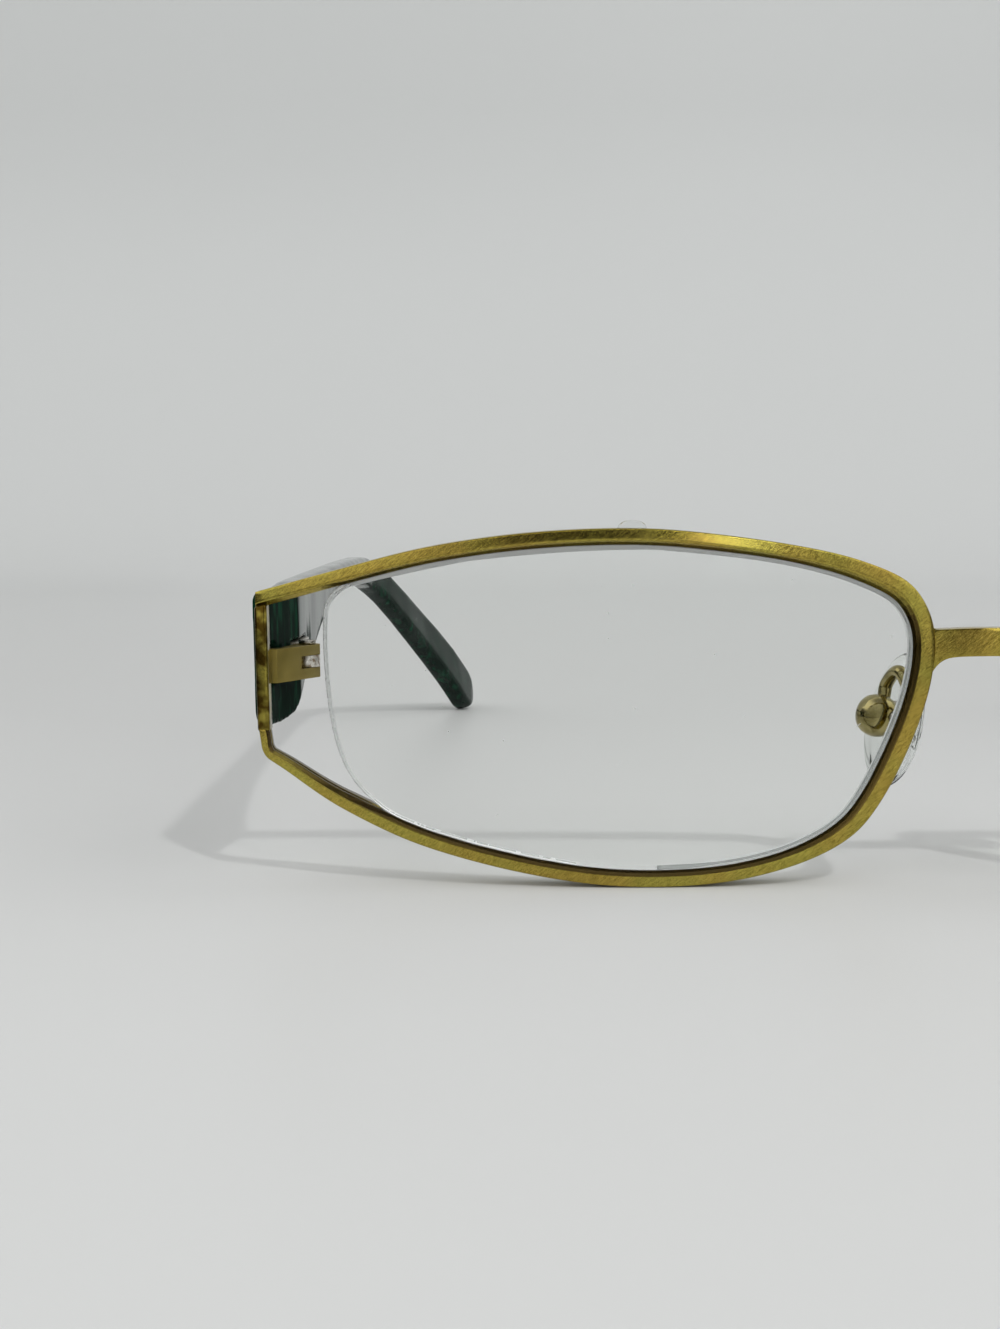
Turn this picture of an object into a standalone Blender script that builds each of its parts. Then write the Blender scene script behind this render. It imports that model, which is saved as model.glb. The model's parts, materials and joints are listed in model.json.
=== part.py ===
"""Semi-rimless eyeglasses: a brazed metal front, two clear lenses and two acetate temples.

Metres, +Z up. The front faces -Y and the temples run towards +Y. The origin is at the bottom
centre of the glasses as they stand on a table, and "right" is the wearer's right side, at -X.
The front is drawn flat and then bent onto the sphere of the lenses.
"""

import math

import bmesh
import bpy
import numpy as np
from mathutils import Matrix, Vector

# Front, seen from ahead
EYE_WIDTH = 0.0629
EYE_HEIGHT = 0.0330
RIM_SPACING = 0.0118
LENS_CENTRE_DISTANCE = 0.0700
BASE_CURVE_RADIUS = 0.130

# Outer edge of one rim as shares of the eye's width (0 at the nose) and height (0 at the table)
RIM_OUTLINE = (
    (1.000, 0.819),
    (0.868, 0.888),
    (0.747, 0.947),
    (0.597, 0.988),
    (0.444, 1.000),
    (0.341, 0.987),
    (0.184, 0.944),
    (0.100, 0.902),
    (0.036, 0.843),
    (0.004, 0.744),
    (0.000, 0.624),
    (0.0245, 0.439),
    (0.0935, 0.184),
    (0.151, 0.097),
    (0.256, 0.028),
    (0.373, 0.000),
    (0.528, 0.012),
    (0.749, 0.108),
    (0.863, 0.204),
    (0.904, 0.249),
    (0.954, 0.314),
    (0.9735, 0.337),
    (0.9845, 0.351),
    (0.9915, 0.374),
    (0.9937, 0.403),
    (0.9962, 0.431),
)
OUTLINE_STEPS = 3

# Rim bar
RIM_WIDTH = 0.00150
RIM_DEPTH = 0.00300
RIM_CHAMFER = 0.00012
RIM_BEVEL_WIDTH = 0.00045
RIM_BEVEL_DEPTH = 0.00090
RIM_SHRINKS_FROM = 0.850
RIM_SHRUNK_FROM = 0.985
RIM_NOSE_WIDTH = 0.00200
RIM_GROWN_UNTIL = 0.050
RIM_GROWS_UNTIL = 0.220

# Free edge of the lens, from the top bar down to the lower bar, in the same shares
LENS_FREE_EDGE = (
    (0.884, 0.815),
    (0.8935, 0.782),
    (0.896, 0.735),
    (0.895, 0.630),
    (0.890, 0.520),
    (0.880, 0.410),
    (0.865, 0.330),
    (0.841, 0.265),
)
LENS_TOP_END = 0.866
LENS_LOWER_END = 0.800
LENS_THICKNESS = 0.0018
LENS_CLEARANCE = 0.00005
LENS_GRID = 0.0065

# Nylon cord and liner, which lie half in the lens's groove and half in the rim's
CORD_DIAMETER = 0.00055
CORD_CLEARANCE = 0.00005
CORD_LOWER_END = 0.495
LINER_LOWER_START = 0.405
LINER_TOP_END = 0.855
CORD_SIDES = 6

# Clear bead on top of the top bar
TAB_POSITION = 0.447
TAB_LENGTH = 0.0025
TAB_HEIGHT = 0.00065
TAB_DEPTH = 0.0012
TAB_STEPS = 9

# Upright bar at the temple side
END_BAR_WIDTH = 0.00095
END_BAR_DEPTH = 0.00190
END_BAR_SETBACK = 0.00020
END_BAR_STEPS = 4
BRAZE_GAP = 0.00003

# Bridge
BRIDGE_HEIGHT = 0.00260
BRIDGE_DEPTH = 0.00190
BRIDGE_CENTRE_HEIGHT = 0.02230
BRIDGE_RISE = 0.00025
BRIDGE_FORWARD = 0.00070
BRIDGE_TOP_FILLET = 0.00080
BRIDGE_LOWER_FILLET = 0.00230
BRIDGE_STEPS = 8
FILLET_STEPS = 5

# Hinge
PIVOT_INSET = 0.0039
PIVOT_BEHIND_END_BAR = 0.00605
HINGE_CENTRE_HEIGHT = 0.01998
HINGE_HEIGHT = 0.00320
BARREL_RADIUS = 0.00125
BARREL_WRAP = math.radians(200.0)
BARREL_STEPS = 13
KNUCKLE_HEIGHT = 0.00114
KNUCKLE_CLEARANCE = 0.00005
SLOT_REACH = 0.0007
SCREW_RADIUS = 0.00055
SCREW_CLEARANCE = 0.00005
SCREW_HEAD_RADIUS = 0.00085
SCREW_HEAD_HEIGHT = 0.00035
SCREW_SLOT_WIDTH = 0.00025
FOOT_THICKNESS = 0.00110
FOOT_ROOT = 0.00165
FOOT_WIDTH = 0.00155
FOOT_SETBACK = 0.00020
LEAF_THICKNESS = 0.00110
LEAF_LENGTH = 0.00750
LEAF_PROUD = 0.00030
LEAF_START = 0.00165
NECK_OVERLAP = 0.00030
HINGE_SEAT_GAP = 0.00010

# Temple: sections from the hinge to the ear bend, each a share of the way, the height of its
# middle and its width up and down. Behind the bend: distance behind it, height of the middle,
# width and how far the tip has turned inwards there
TEMPLE_START = 0.0060
EAR_BEND_START = 0.1020
ARM_SECTIONS = (
    (0.000, 0.02070, 0.01280),
    (0.089, 0.02075, 0.01260),
    (0.161, 0.02225, 0.01020),
    (0.260, 0.02340, 0.00800),
    (0.354, 0.02445, 0.00600),
    (0.438, 0.02495, 0.00500),
    (0.531, 0.02535, 0.00425),
    (0.688, 0.02555, 0.00390),
    (0.844, 0.02545, 0.00390),
    (1.000, 0.02510, 0.00415),
)
TIP_SECTIONS = (
    (0.0065, 0.02430, 0.00450, 0.0006),
    (0.0120, 0.02170, 0.00490, 0.0030),
    (0.0210, 0.01500, 0.00570, 0.0077),
    (0.0290, 0.00820, 0.00660, 0.0125),
    (0.0332, 0.00420, 0.00690, 0.0149),
)
TEMPLE_STEPS = 2
TEMPLE_THICKNESS = 0.0032
TEMPLE_CORNER = 0.0009
CORNER_SHARE = 0.45
CORNER_STEPS = 3
TEMPLE_PROUD = 0.0005
TEMPLE_LEAN = 0.025
TEMPLE_LEAN_END = 0.057
TEMPLE_END_GAP = 0.00012
TEMPLE_END_THICKNESS = 0.0015
TEMPLE_FACET_END = 0.0172
TIP_END_LENGTH = 0.0032
TIP_END_STEPS = 3
TIP_END_TURN = math.radians(80.0)
TIP_END_FULLNESS = 0.33
NOTCH_GAP = 0.00015
FOOT_SKIN = 0.00045

# Core wire inside the temple: share of the way to the ear bend and height
CORE_ROUTE = (
    (0.208, 0.0212),
    (0.313, 0.0233),
    (0.417, 0.0245),
    (0.563, 0.0254),
    (0.750, 0.0255),
    (0.958, 0.0252),
)
CORE_STEPS = 3
CORE_RADIUS = 0.00055
CORE_CLEARANCE = 0.00010
CORE_START_INSET = 0.0022
CORE_INSET = 0.0016

# Nose pad
PAD_LENGTH = 0.0135
PAD_WIDTH = 0.0072
PAD_THICKNESS = 0.0019
PAD_FULLNESS = 0.75
PAD_TAPER = 0.16
PAD_SIDES = 24
PAD_RINGS = 10
PAD_SIDE = 0.0075
PAD_BEHIND = 0.0121
PAD_CENTRE_HEIGHT = 0.0142
PAD_SPLAY = math.radians(37.0)
PAD_LEAN = math.radians(14.0)
PAD_GAP = 0.00005

# Pad box, insert and screw
BOX_SIZE = 0.0039
BOX_DEPTH = 0.0024
BOX_ROUNDING = 0.00110
BOX_ROUNDING_STEPS = 2
BOX_STANDOFF = 0.00080
BOX_SLOT_CLEARANCE = 0.00010
BOX_SWING_ROOM = 0.00052
STEM_WIDTH = 0.0012
STEM_HEIGHT = 0.0018
STEM_LENGTH = 0.0021
STEM_FLANGE_SIZE = 0.0036
STEM_FLANGE_THICKNESS = 0.0004
PAD_SCREW_RADIUS = 0.00035
PAD_SCREW_HEAD_RADIUS = 0.00065
PAD_SCREW_HEAD_HEIGHT = 0.00030
PAD_SCREW_SIDES = 12

# Pad arm
ARM_WIRE_RADIUS = 0.00056
ARM_START_HEIGHT = 0.0173
ARM_CROWN_HEIGHT = 0.0194
ARM_STANDOFF = 0.0011
ARM_OFF_CENTRE = 0.0005
ARM_STEPS = 4

# Worked out from the sizes above
LENS_CENTRE_X = LENS_CENTRE_DISTANCE / 2
LENS_CENTRE_Z = EYE_HEIGHT / 2
NOSE_EDGE = RIM_SPACING / 2
FRONT_HALF_WIDTH = NOSE_EDGE + EYE_WIDTH

# Making the solids
WELD_DISTANCE = 0.000004
SLOPE_STEP = 0.0002
FLAT_ANGLE = math.radians(0.5)
SHARP_ANGLE = math.radians(32.0)
ROUND_SIDES = 24
WIRE_SIDES = 8
CUT_MARGIN = 0.02

SIDES = {"right": -1.0, "left": 1.0}


# Scene and materials


def clear_scene():
    for thing in list(bpy.data.objects):
        bpy.data.objects.remove(thing, do_unlink=True)


def material(name, colour, roughness, metallic=0.0, transmission=0.0):
    surface = bpy.data.materials.new(name)
    surface.use_nodes = True
    shader = surface.node_tree.nodes["Principled BSDF"]
    shader.inputs["Base Color"].default_value = (*colour, 1.0)
    shader.inputs["Roughness"].default_value = roughness
    shader.inputs["Metallic"].default_value = metallic
    shader.inputs["Transmission Weight"].default_value = transmission
    surface.diffuse_color = (*colour, 1.0)
    return surface


def make_materials():
    return {
        "gold_metal": material("gold_metal", (0.32, 0.27, 0.05), 0.30, metallic=1.0),
        "pad_metal": material("pad_metal", (0.30, 0.26, 0.12), 0.20, metallic=1.0),
        "nickel_silver": material("nickel_silver", (0.60, 0.57, 0.52), 0.35, metallic=1.0),
        "steel": material("steel", (0.45, 0.44, 0.42), 0.25, metallic=1.0),
        "clear_lens": material("clear_lens", (0.95, 0.97, 0.97), 0.02, transmission=1.0),
        "clear_nylon": material("clear_nylon", (0.85, 0.87, 0.87), 0.15, transmission=0.8),
        "clear_silicone": material("clear_silicone", (0.88, 0.90, 0.90), 0.25, transmission=0.8),
        "green_acetate": material("green_acetate", (0.008, 0.035, 0.025), 0.08, transmission=0.2),
    }


# Lines and points


def smooth_line(anchors, steps):
    """Points on a centripetal Catmull-Rom line through the anchors, steps to each span."""
    knots = np.asarray(anchors, dtype=float)
    knots = np.vstack([2 * knots[0] - knots[1], knots, 2 * knots[-1] - knots[-2]])
    points = []
    for before, start, end, after in zip(knots, knots[1:], knots[2:], knots[3:]):
        t0 = 0.0
        t1 = t0 + math.sqrt(np.linalg.norm(start - before))
        t2 = t1 + math.sqrt(np.linalg.norm(end - start))
        t3 = t2 + math.sqrt(np.linalg.norm(after - end))
        for step in range(steps):
            t = t1 + (t2 - t1) * step / steps
            a = ((t1 - t) * before + (t - t0) * start) / (t1 - t0)
            b = ((t2 - t) * start + (t - t1) * end) / (t2 - t1)
            c = ((t3 - t) * end + (t - t2) * after) / (t3 - t2)
            d = ((t2 - t) * a + (t - t0) * b) / (t2 - t0)
            e = ((t3 - t) * b + (t - t1) * c) / (t3 - t1)
            points.append(((t2 - t) * d + (t - t1) * e) / (t2 - t1))
    points.append(knots[-2])
    return np.array(points)


def inward(points, distance):
    """The line moved to the right of its direction of travel, which is into the lens."""
    ahead = np.diff(points, axis=0, append=2 * points[-1:] - points[-2:-1])
    behind = np.diff(points, axis=0, prepend=2 * points[:1] - points[1:2])
    ahead = ahead / np.linalg.norm(ahead, axis=1, keepdims=True)
    behind = behind / np.linalg.norm(behind, axis=1, keepdims=True)
    middle = ahead + behind
    middle = middle / np.linalg.norm(middle, axis=1, keepdims=True)
    mitre = np.sum(middle * ahead, axis=1, keepdims=True)
    side = np.column_stack([middle[:, 1], -middle[:, 0]])
    return points + side * distance / mitre


def eye_points(shares):
    """Shares of the right eye's box as X and Z."""
    shares = np.asarray(shares, dtype=float)
    return np.column_stack([-NOSE_EDGE - shares[:, 0] * EYE_WIDTH, shares[:, 1] * EYE_HEIGHT])


def eye_share(points):
    """How far from the nose the points lie, as a share of the eye's width."""
    return (-points[:, 0] - NOSE_EDGE) / EYE_WIDTH


def rim_outer_line():
    line = smooth_line(eye_points(RIM_OUTLINE), OUTLINE_STEPS)
    line[:, 1] -= line[:, 1].min()
    return line


def nose_index(line):
    """Which point of a line round the right eye lies nearest the nose."""
    return int(np.argmax(line[:, 0]))


def shrinking(outer):
    """How far the rim's bar has shrunk towards the end bar's size, near either of its ends."""
    share = (eye_share(outer) - RIM_SHRINKS_FROM) / (RIM_SHRUNK_FROM - RIM_SHRINKS_FROM)
    return np.clip(share, 0.0, 1.0)


def growing(outer):
    """How far the rim's bar has grown to its full width beside the nose."""
    share = (RIM_GROWS_UNTIL - eye_share(outer)) / (RIM_GROWS_UNTIL - RIM_GROWN_UNTIL)
    return np.clip(share, 0.0, 1.0)


def rim_inner_line():
    """Inner wall of the rim, cut upright where the top bar ends and level at the lower end."""
    outer = rim_outer_line()
    narrowing = shrinking(outer)
    narrowing[: nose_index(outer)] = 0.0
    width = RIM_WIDTH + (END_BAR_WIDTH - RIM_WIDTH) * narrowing
    width += (RIM_NOSE_WIDTH - RIM_WIDTH) * growing(outer)
    wall = inward(outer, width[:, None])
    step = wall[1] - wall[0]
    wall[0] += step * (outer[0, 0] - wall[0, 0]) / step[0]
    wall[-1] = outer[-1] + np.array([width[-1], 0.0])
    return wall


def part_of_seat(start_share, end_share):
    """The stretch of the rim's inner wall that runs by the nose from one share to another."""
    wall = rim_inner_line()
    share = eye_share(wall)
    nose = nose_index(wall)
    keep = np.where(np.arange(len(wall)) < nose, share <= start_share, share <= end_share)
    first = int(np.argmax(keep))
    last = len(wall) - int(np.argmax(keep[::-1]))
    head = wall[first] + (wall[first - 1] - wall[first]) * (
        (start_share - share[first]) / (share[first - 1] - share[first])
    )
    tail = wall[last - 1] + (wall[last] - wall[last - 1]) * (
        (end_share - share[last - 1]) / (share[last] - share[last - 1])
    )
    return np.vstack([head, wall[first:last], tail])


def lens_line():
    """The closed edge of the right lens: seated in the rim, then free down the temple side."""
    seat = inward(part_of_seat(LENS_TOP_END, LENS_LOWER_END), LENS_CLEARANCE)
    free = eye_points(LENS_FREE_EDGE)[::-1]
    knots = np.vstack([seat[-2:], free, seat[:2]])
    edge = smooth_line(knots, OUTLINE_STEPS)
    return np.vstack([seat, edge[OUTLINE_STEPS + 1 : -OUTLINE_STEPS - 1]])


def sag(x, z):
    """How far the sphere of the lenses lies behind its foremost point."""
    return ((abs(x) - LENS_CENTRE_X) ** 2 + (z - LENS_CENTRE_Z) ** 2) / (2 * BASE_CURVE_RADIUS)


# Solids


def new_object(name, mesh):
    thing = bpy.data.objects.new(name, mesh)
    bpy.context.scene.collection.objects.link(thing)
    return thing


def evaluated_mesh(thing):
    bpy.context.view_layer.update()
    graph = bpy.context.evaluated_depsgraph_get()
    return bpy.data.meshes.new_from_object(thing.evaluated_get(graph))


def face_outwards(shape):
    bmesh.ops.recalc_face_normals(shape, faces=shape.faces)
    if shape.calc_volume(signed=True) < 0.0:
        bmesh.ops.reverse_faces(shape, faces=shape.faces)


def tidy(mesh):
    """Weld the loose caps of a curve's mesh and turn its faces outwards."""
    shape = bmesh.new()
    shape.from_mesh(mesh)
    bmesh.ops.remove_doubles(shape, verts=shape.verts, dist=WELD_DISTANCE)
    bmesh.ops.dissolve_degenerate(shape, dist=WELD_DISTANCE / 2, edges=shape.edges)
    face_outwards(shape)
    shape.to_mesh(mesh)
    shape.free()


def curve_solid(name, points, closed=False, flat=False, **settings):
    """A curve through the points, made a closed mesh: a wire, a swept bar or a flat plate."""
    data = bpy.data.curves.new(name, "CURVE")
    data.dimensions = "2D" if flat else "3D"
    spline = data.splines.new("POLY")
    spline.points.add(len(points) - 1)
    for knot, point in zip(spline.points, points):
        place = (*point, 0.0) if len(point) == 2 else tuple(point)
        knot.co = (*place, 1.0)
    spline.use_cyclic_u = closed
    for setting, value in settings.items():
        setattr(data, setting, value)
    guide = new_object(name + "_guide", data)
    mesh = evaluated_mesh(guide)
    bpy.data.objects.remove(guide)
    bpy.data.curves.remove(data)
    tidy(mesh)
    return new_object(name, mesh)


def plate(name, outline, thickness):
    """A flat outline in X and Y, given half its thickness up and half down."""
    return curve_solid(
        name, outline, closed=True, flat=True, fill_mode="BOTH", extrude=thickness / 2
    )


def wire(name, points, radius, sides=WIRE_SIDES):
    return curve_solid(
        name,
        points,
        bevel_depth=radius,
        bevel_resolution=sides // 2 - 2,
        use_fill_caps=True,
    )


def loft(name, rings):
    """A closed solid through rings of as many points each."""
    shape = bmesh.new()
    loops = [[shape.verts.new(point) for point in ring] for ring in rings]
    count = len(loops[0])
    for near, far in zip(loops, loops[1:]):
        for index in range(count):
            after = (index + 1) % count
            shape.faces.new((near[index], near[after], far[after], far[index]))
    shape.faces.new(loops[0][::-1])
    shape.faces.new(loops[-1])
    face_outwards(shape)
    return bmesh_object(name, shape)


def slab(name, columns, front, depth):
    """A plate in quads through columns of X and Z points, from the front backwards."""
    shape = bmesh.new()
    lines = [[shape.verts.new((x, front, z)) for x, z in column] for column in columns]
    for near, far in zip(lines, lines[1:]):
        for index in range(len(near) - 1):
            shape.faces.new((near[index], near[index + 1], far[index + 1], far[index]))
    grown = bmesh.ops.extrude_face_region(shape, geom=shape.faces[:], use_keep_orig=True)
    moved = [item for item in grown["geom"] if isinstance(item, bmesh.types.BMVert)]
    bmesh.ops.translate(shape, verts=moved, vec=(0.0, depth, 0.0))
    face_outwards(shape)
    return bmesh_object(name, shape)


def box(name, low, high):
    """An upright box between two corners."""
    shape = bmesh.new()
    bmesh.ops.create_cube(shape, size=1.0)
    low = Vector(low)
    high = Vector(high)
    bmesh.ops.transform(
        shape,
        matrix=Matrix.Translation((low + high) / 2) @ Matrix.Diagonal((*(high - low), 1.0)),
        verts=shape.verts,
    )
    return bmesh_object(name, shape)


def cylinder(name, radius, length, centre, axis=(0.0, 0.0, 1.0), sides=ROUND_SIDES):
    shape = bmesh.new()
    bmesh.ops.create_cone(
        shape, cap_ends=True, segments=sides, radius1=radius, radius2=radius, depth=length
    )
    turn = Vector((0.0, 0.0, 1.0)).rotation_difference(Vector(axis)).to_matrix().to_4x4()
    bmesh.ops.transform(shape, matrix=Matrix.Translation(centre) @ turn, verts=shape.verts)
    return bmesh_object(name, shape)


def bmesh_object(name, shape):
    mesh = bpy.data.meshes.new(name)
    shape.to_mesh(mesh)
    shape.free()
    return new_object(name, mesh)


def boolean(target, tool, operation):
    """Join, cut or intersect the target with the tool, which is used up."""
    modifier = target.modifiers.new(operation, "BOOLEAN")
    modifier.operation = operation
    modifier.solver = "EXACT"
    modifier.object = tool
    mesh = evaluated_mesh(target)
    target.modifiers.clear()
    target.data = mesh
    bpy.data.objects.remove(tool)


def flatten_faces(thing):
    """Join the pieces of each flat face."""
    shape = bmesh.new()
    shape.from_mesh(thing.data)
    bmesh.ops.dissolve_limit(
        shape, angle_limit=FLAT_ANGLE, verts=shape.verts, edges=shape.edges
    )
    shape.to_mesh(thing.data)
    shape.free()


def bevel_edges(thing, width, segments=1):
    """Round the sharp edges of a solid."""
    flatten_faces(thing)
    shape = bmesh.new()
    shape.from_mesh(thing.data)
    sharp = [edge for edge in shape.edges if edge.calc_face_angle(0.0) > SHARP_ANGLE]
    bmesh.ops.bevel(
        shape, geom=sharp, offset=width, segments=segments, profile=0.5, affect="EDGES",
        clamp_overlap=True,
    )
    shape.to_mesh(thing.data)
    shape.free()


def stand_up(thing):
    """Turn a shape drawn in X and Y to stand in X and Z, with its depth along +Y."""
    thing.data.transform(Matrix.Rotation(math.pi / 2, 4, "X"))


def move_points(thing, change):
    """Move every vertex by a rule, which is given the vertex and returns its new place."""
    for vertex in thing.data.vertices:
        vertex.co = change(vertex.co)
    thing.data.update()


def bend(thing):
    """Bend a flat piece of the front onto the sphere of the lenses."""
    move_points(thing, lambda p: Vector((p.x, p.y + sag(p.x, p.z), p.z)))


def slice_mesh(thing, planes):
    """Divide a solid's faces along planes, each a point and a direction."""
    shape = bmesh.new()
    shape.from_mesh(thing.data)
    for point, direction in planes:
        bmesh.ops.bisect_plane(
            shape,
            geom=shape.verts[:] + shape.edges[:] + shape.faces[:],
            dist=WELD_DISTANCE,
            plane_co=point,
            plane_no=direction,
        )
    shape.to_mesh(thing.data)
    shape.free()


def cut_away(thing, point, direction):
    """Cut a solid with a plane and close it, dropping what lies on the direction's side."""
    shape = bmesh.new()
    shape.from_mesh(thing.data)
    bmesh.ops.bisect_plane(
        shape,
        geom=shape.verts[:] + shape.edges[:] + shape.faces[:],
        dist=WELD_DISTANCE,
        plane_co=point,
        plane_no=direction,
        clear_outer=True,
    )
    open_edges = [edge for edge in shape.edges if edge.is_boundary]
    bmesh.ops.holes_fill(shape, edges=open_edges, sides=0)
    face_outwards(shape)
    shape.to_mesh(thing.data)
    shape.free()


# Front


def groove_radius():
    """Half the width of the grooves that hold the cord and the liner."""
    return CORD_DIAMETER / 2 + CORD_CLEARANCE


def make_rim():
    """Bar round the eye, bevelled towards the lens, with a groove along its inner wall."""
    chamfer = RIM_CHAMFER / RIM_WIDTH
    half_groove = groove_radius()
    groove = 1.0 - half_groove / RIM_WIDTH
    middle = RIM_DEPTH / 2
    section = (
        (0.0, RIM_CHAMFER),
        (chamfer, 0.0),
        (1.0 - RIM_BEVEL_WIDTH / RIM_WIDTH, 0.0),
        (1.0, RIM_BEVEL_DEPTH),
        (1.0, middle - half_groove),
        (groove, middle - half_groove),
        (groove, middle + half_groove),
        (1.0, middle + half_groove),
        (1.0, RIM_DEPTH),
        (0.0, RIM_DEPTH),
    )
    line = rim_outer_line()
    rings = []
    end_depth = END_BAR_SETBACK + END_BAR_DEPTH
    for outer, inner, shrunk in zip(line, rim_inner_line(), shrinking(line)):
        shallow = 1.0 + (end_depth / RIM_DEPTH - 1.0) * shrunk
        ring = []
        for share, depth in section:
            x, z = outer + (inner - outer) * share
            ring.append((x, depth * shallow, z))
        rings.append(ring)
    rim = loft("rim", rings)
    bend(rim)
    return rim


def make_end_bar():
    """Upright bar from the top bar's underside down to the rim's turned-up end."""
    wall = rim_inner_line()
    slope = (wall[1, 1] - wall[0, 1]) / (wall[1, 0] - wall[0, 0])
    top = wall[0, 1] - BRAZE_GAP
    low_outer_x, low_z = rim_outer_line()[-1]
    low = low_z + BRAZE_GAP
    outline = (
        (-FRONT_HALF_WIDTH, top),
        (-FRONT_HALF_WIDTH + END_BAR_WIDTH, top + slope * END_BAR_WIDTH),
        (low_outer_x + END_BAR_WIDTH, low),
        (low_outer_x, low),
    )
    bar = plate("end_bar", outline, END_BAR_DEPTH)
    stand_up(bar)
    bar.data.transform(Matrix.Translation((0.0, END_BAR_SETBACK + END_BAR_DEPTH / 2, 0.0)))
    bevel_edges(bar, RIM_CHAMFER)
    heights = np.linspace(low, top, END_BAR_STEPS + 2)[1:-1]
    slice_mesh(bar, [((0.0, 0.0, height), (0.0, 0.0, 1.0)) for height in heights])
    bend(bar)
    return bar


def end_bar_back(z):
    """How far back the end bar's rear face reaches at a height."""
    return END_BAR_SETBACK + END_BAR_DEPTH + sag(-FRONT_HALF_WIDTH, z)


def make_lens():
    """Clear lens with a groove all round its edge for the cord and the liner."""
    line = lens_line()
    lens = plate("lens", line, LENS_THICKNESS)
    groove = curve_solid(
        "lens_groove",
        [(x, y, 0.0) for x, y in line],
        closed=True,
        bevel_depth=groove_radius() * math.sqrt(2),
        bevel_resolution=0,
    )
    boolean(lens, groove, "DIFFERENCE")
    flatten_faces(lens)
    left, low = line.min(axis=0)
    right, high = line.max(axis=0)
    columns = np.arange(left + LENS_GRID, right, LENS_GRID)
    rows = np.arange(low + LENS_GRID, high, LENS_GRID)
    planes = [((x, 0.0, 0.0), (1.0, 0.0, 0.0)) for x in columns]
    planes += [((0.0, z, 0.0), (0.0, 1.0, 0.0)) for z in rows]
    slice_mesh(lens, planes)
    stand_up(lens)
    lens.data.transform(Matrix.Translation((0.0, RIM_DEPTH / 2, 0.0)))
    bend(lens)
    return lens


def edge_wire(name, line):
    """A strand of cord along the lens's edge, bent with the front."""
    points = [(x, RIM_DEPTH / 2, z) for x, z in line]
    strand = wire(name, points, CORD_DIAMETER / 2, CORD_SIDES)
    bend(strand)
    return strand


def make_lens_cord():
    """Nylon cord from the top bar round the free edge and into the lower bar's groove."""
    line = np.roll(lens_line(), -1, axis=0)
    share = eye_share(line)
    seat_count = len(part_of_seat(LENS_TOP_END, LENS_LOWER_END))
    index = np.arange(len(line))
    lower = (share > CORD_LOWER_END) & (line[:, 1] < LENS_CENTRE_Z) & (index < seat_count)
    free = index >= seat_count - 1
    chosen = line[lower | free]
    return edge_wire("lens_cord", chosen)


def make_rim_liner():
    """Clear liner from the lower bar round the nose side and along under the top bar."""
    seat = inward(part_of_seat(LINER_TOP_END, LINER_LOWER_START), LENS_CLEARANCE)
    return edge_wire("rim_liner", seat)


def make_liner_tab():
    """Small clear bead, round on top, that stands on the top bar."""
    outer = rim_outer_line()
    top_bar = outer[: nose_index(outer)]
    middle = -NOSE_EDGE - TAB_POSITION * EYE_WIDTH
    height = float(np.interp(middle, top_bar[:, 0], top_bar[:, 1]))
    outline = [
        (
            middle + TAB_LENGTH / 2 * math.cos(angle),
            height + BRAZE_GAP + TAB_HEIGHT * math.sin(angle),
        )
        for angle in np.linspace(0.0, math.pi, TAB_STEPS)
    ]
    tab = plate("liner_tab", outline, TAB_DEPTH)
    stand_up(tab)
    tab.data.transform(Matrix.Translation((0.0, RIM_DEPTH / 2, 0.0)))
    bend(tab)
    return tab


def nose_side_x(z):
    """X of the right rim's outer edge beside the nose, at a height."""
    outer = rim_outer_line()
    top = int(np.argmax(outer[:, 1]))
    low = int(np.argmin(outer[:, 1]))
    side = outer[top : low + 1][::-1]
    return float(np.interp(z, side[:, 1], side[:, 0]))


def bridge_fillet(edge, reach, turn):
    """Points from the rim's side round to the bridge's edge; turn is 1 above and -1 below."""
    start_height = edge + turn * reach
    start_x = nose_side_x(start_height) + BRAZE_GAP
    rise = SLOPE_STEP * turn
    slope = (nose_side_x(start_height + rise) - nose_side_x(start_height - rise)) / (2 * rise)
    start = np.array([start_x, start_height])
    corner = np.array([start_x - slope * turn * reach, edge])
    finish = np.array([start_x + reach, edge])
    return [
        (1.0 - t) ** 2 * start + 2 * t * (1.0 - t) * corner + t**2 * finish
        for t in np.linspace(0.0, 1.0, FILLET_STEPS)
    ]


def bridge_columns():
    """Columns of points across the bridge: the rim's side, the fillets and then the bar."""
    upper = bridge_fillet(BRIDGE_CENTRE_HEIGHT + BRIDGE_HEIGHT / 2, BRIDGE_TOP_FILLET, 1)
    lower = bridge_fillet(BRIDGE_CENTRE_HEIGHT - BRIDGE_HEIGHT / 2, BRIDGE_LOWER_FILLET, -1)
    steps = np.linspace(0.0, 1.0, BRIDGE_STEPS)[:, None]
    end = lower[0] + (upper[0] - lower[0]) * steps
    bow = np.array([nose_side_x(height) + BRAZE_GAP - x for x, height in end])
    half = []
    for share, low, high in zip(np.linspace(1.0, 0.0, FILLET_STEPS), lower, upper):
        column = low + (high - low) * steps
        column[:, 0] += bow * share
        half.append(column)
    mirror = np.array([-1.0, 1.0])
    inner = half[-1]
    bar = [inner * (1.0 - share, 1.0) for share in np.linspace(0.0, 2.0, BRIDGE_STEPS)[1:-1]]
    return half + bar + [column * mirror for column in half[::-1]]


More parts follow.
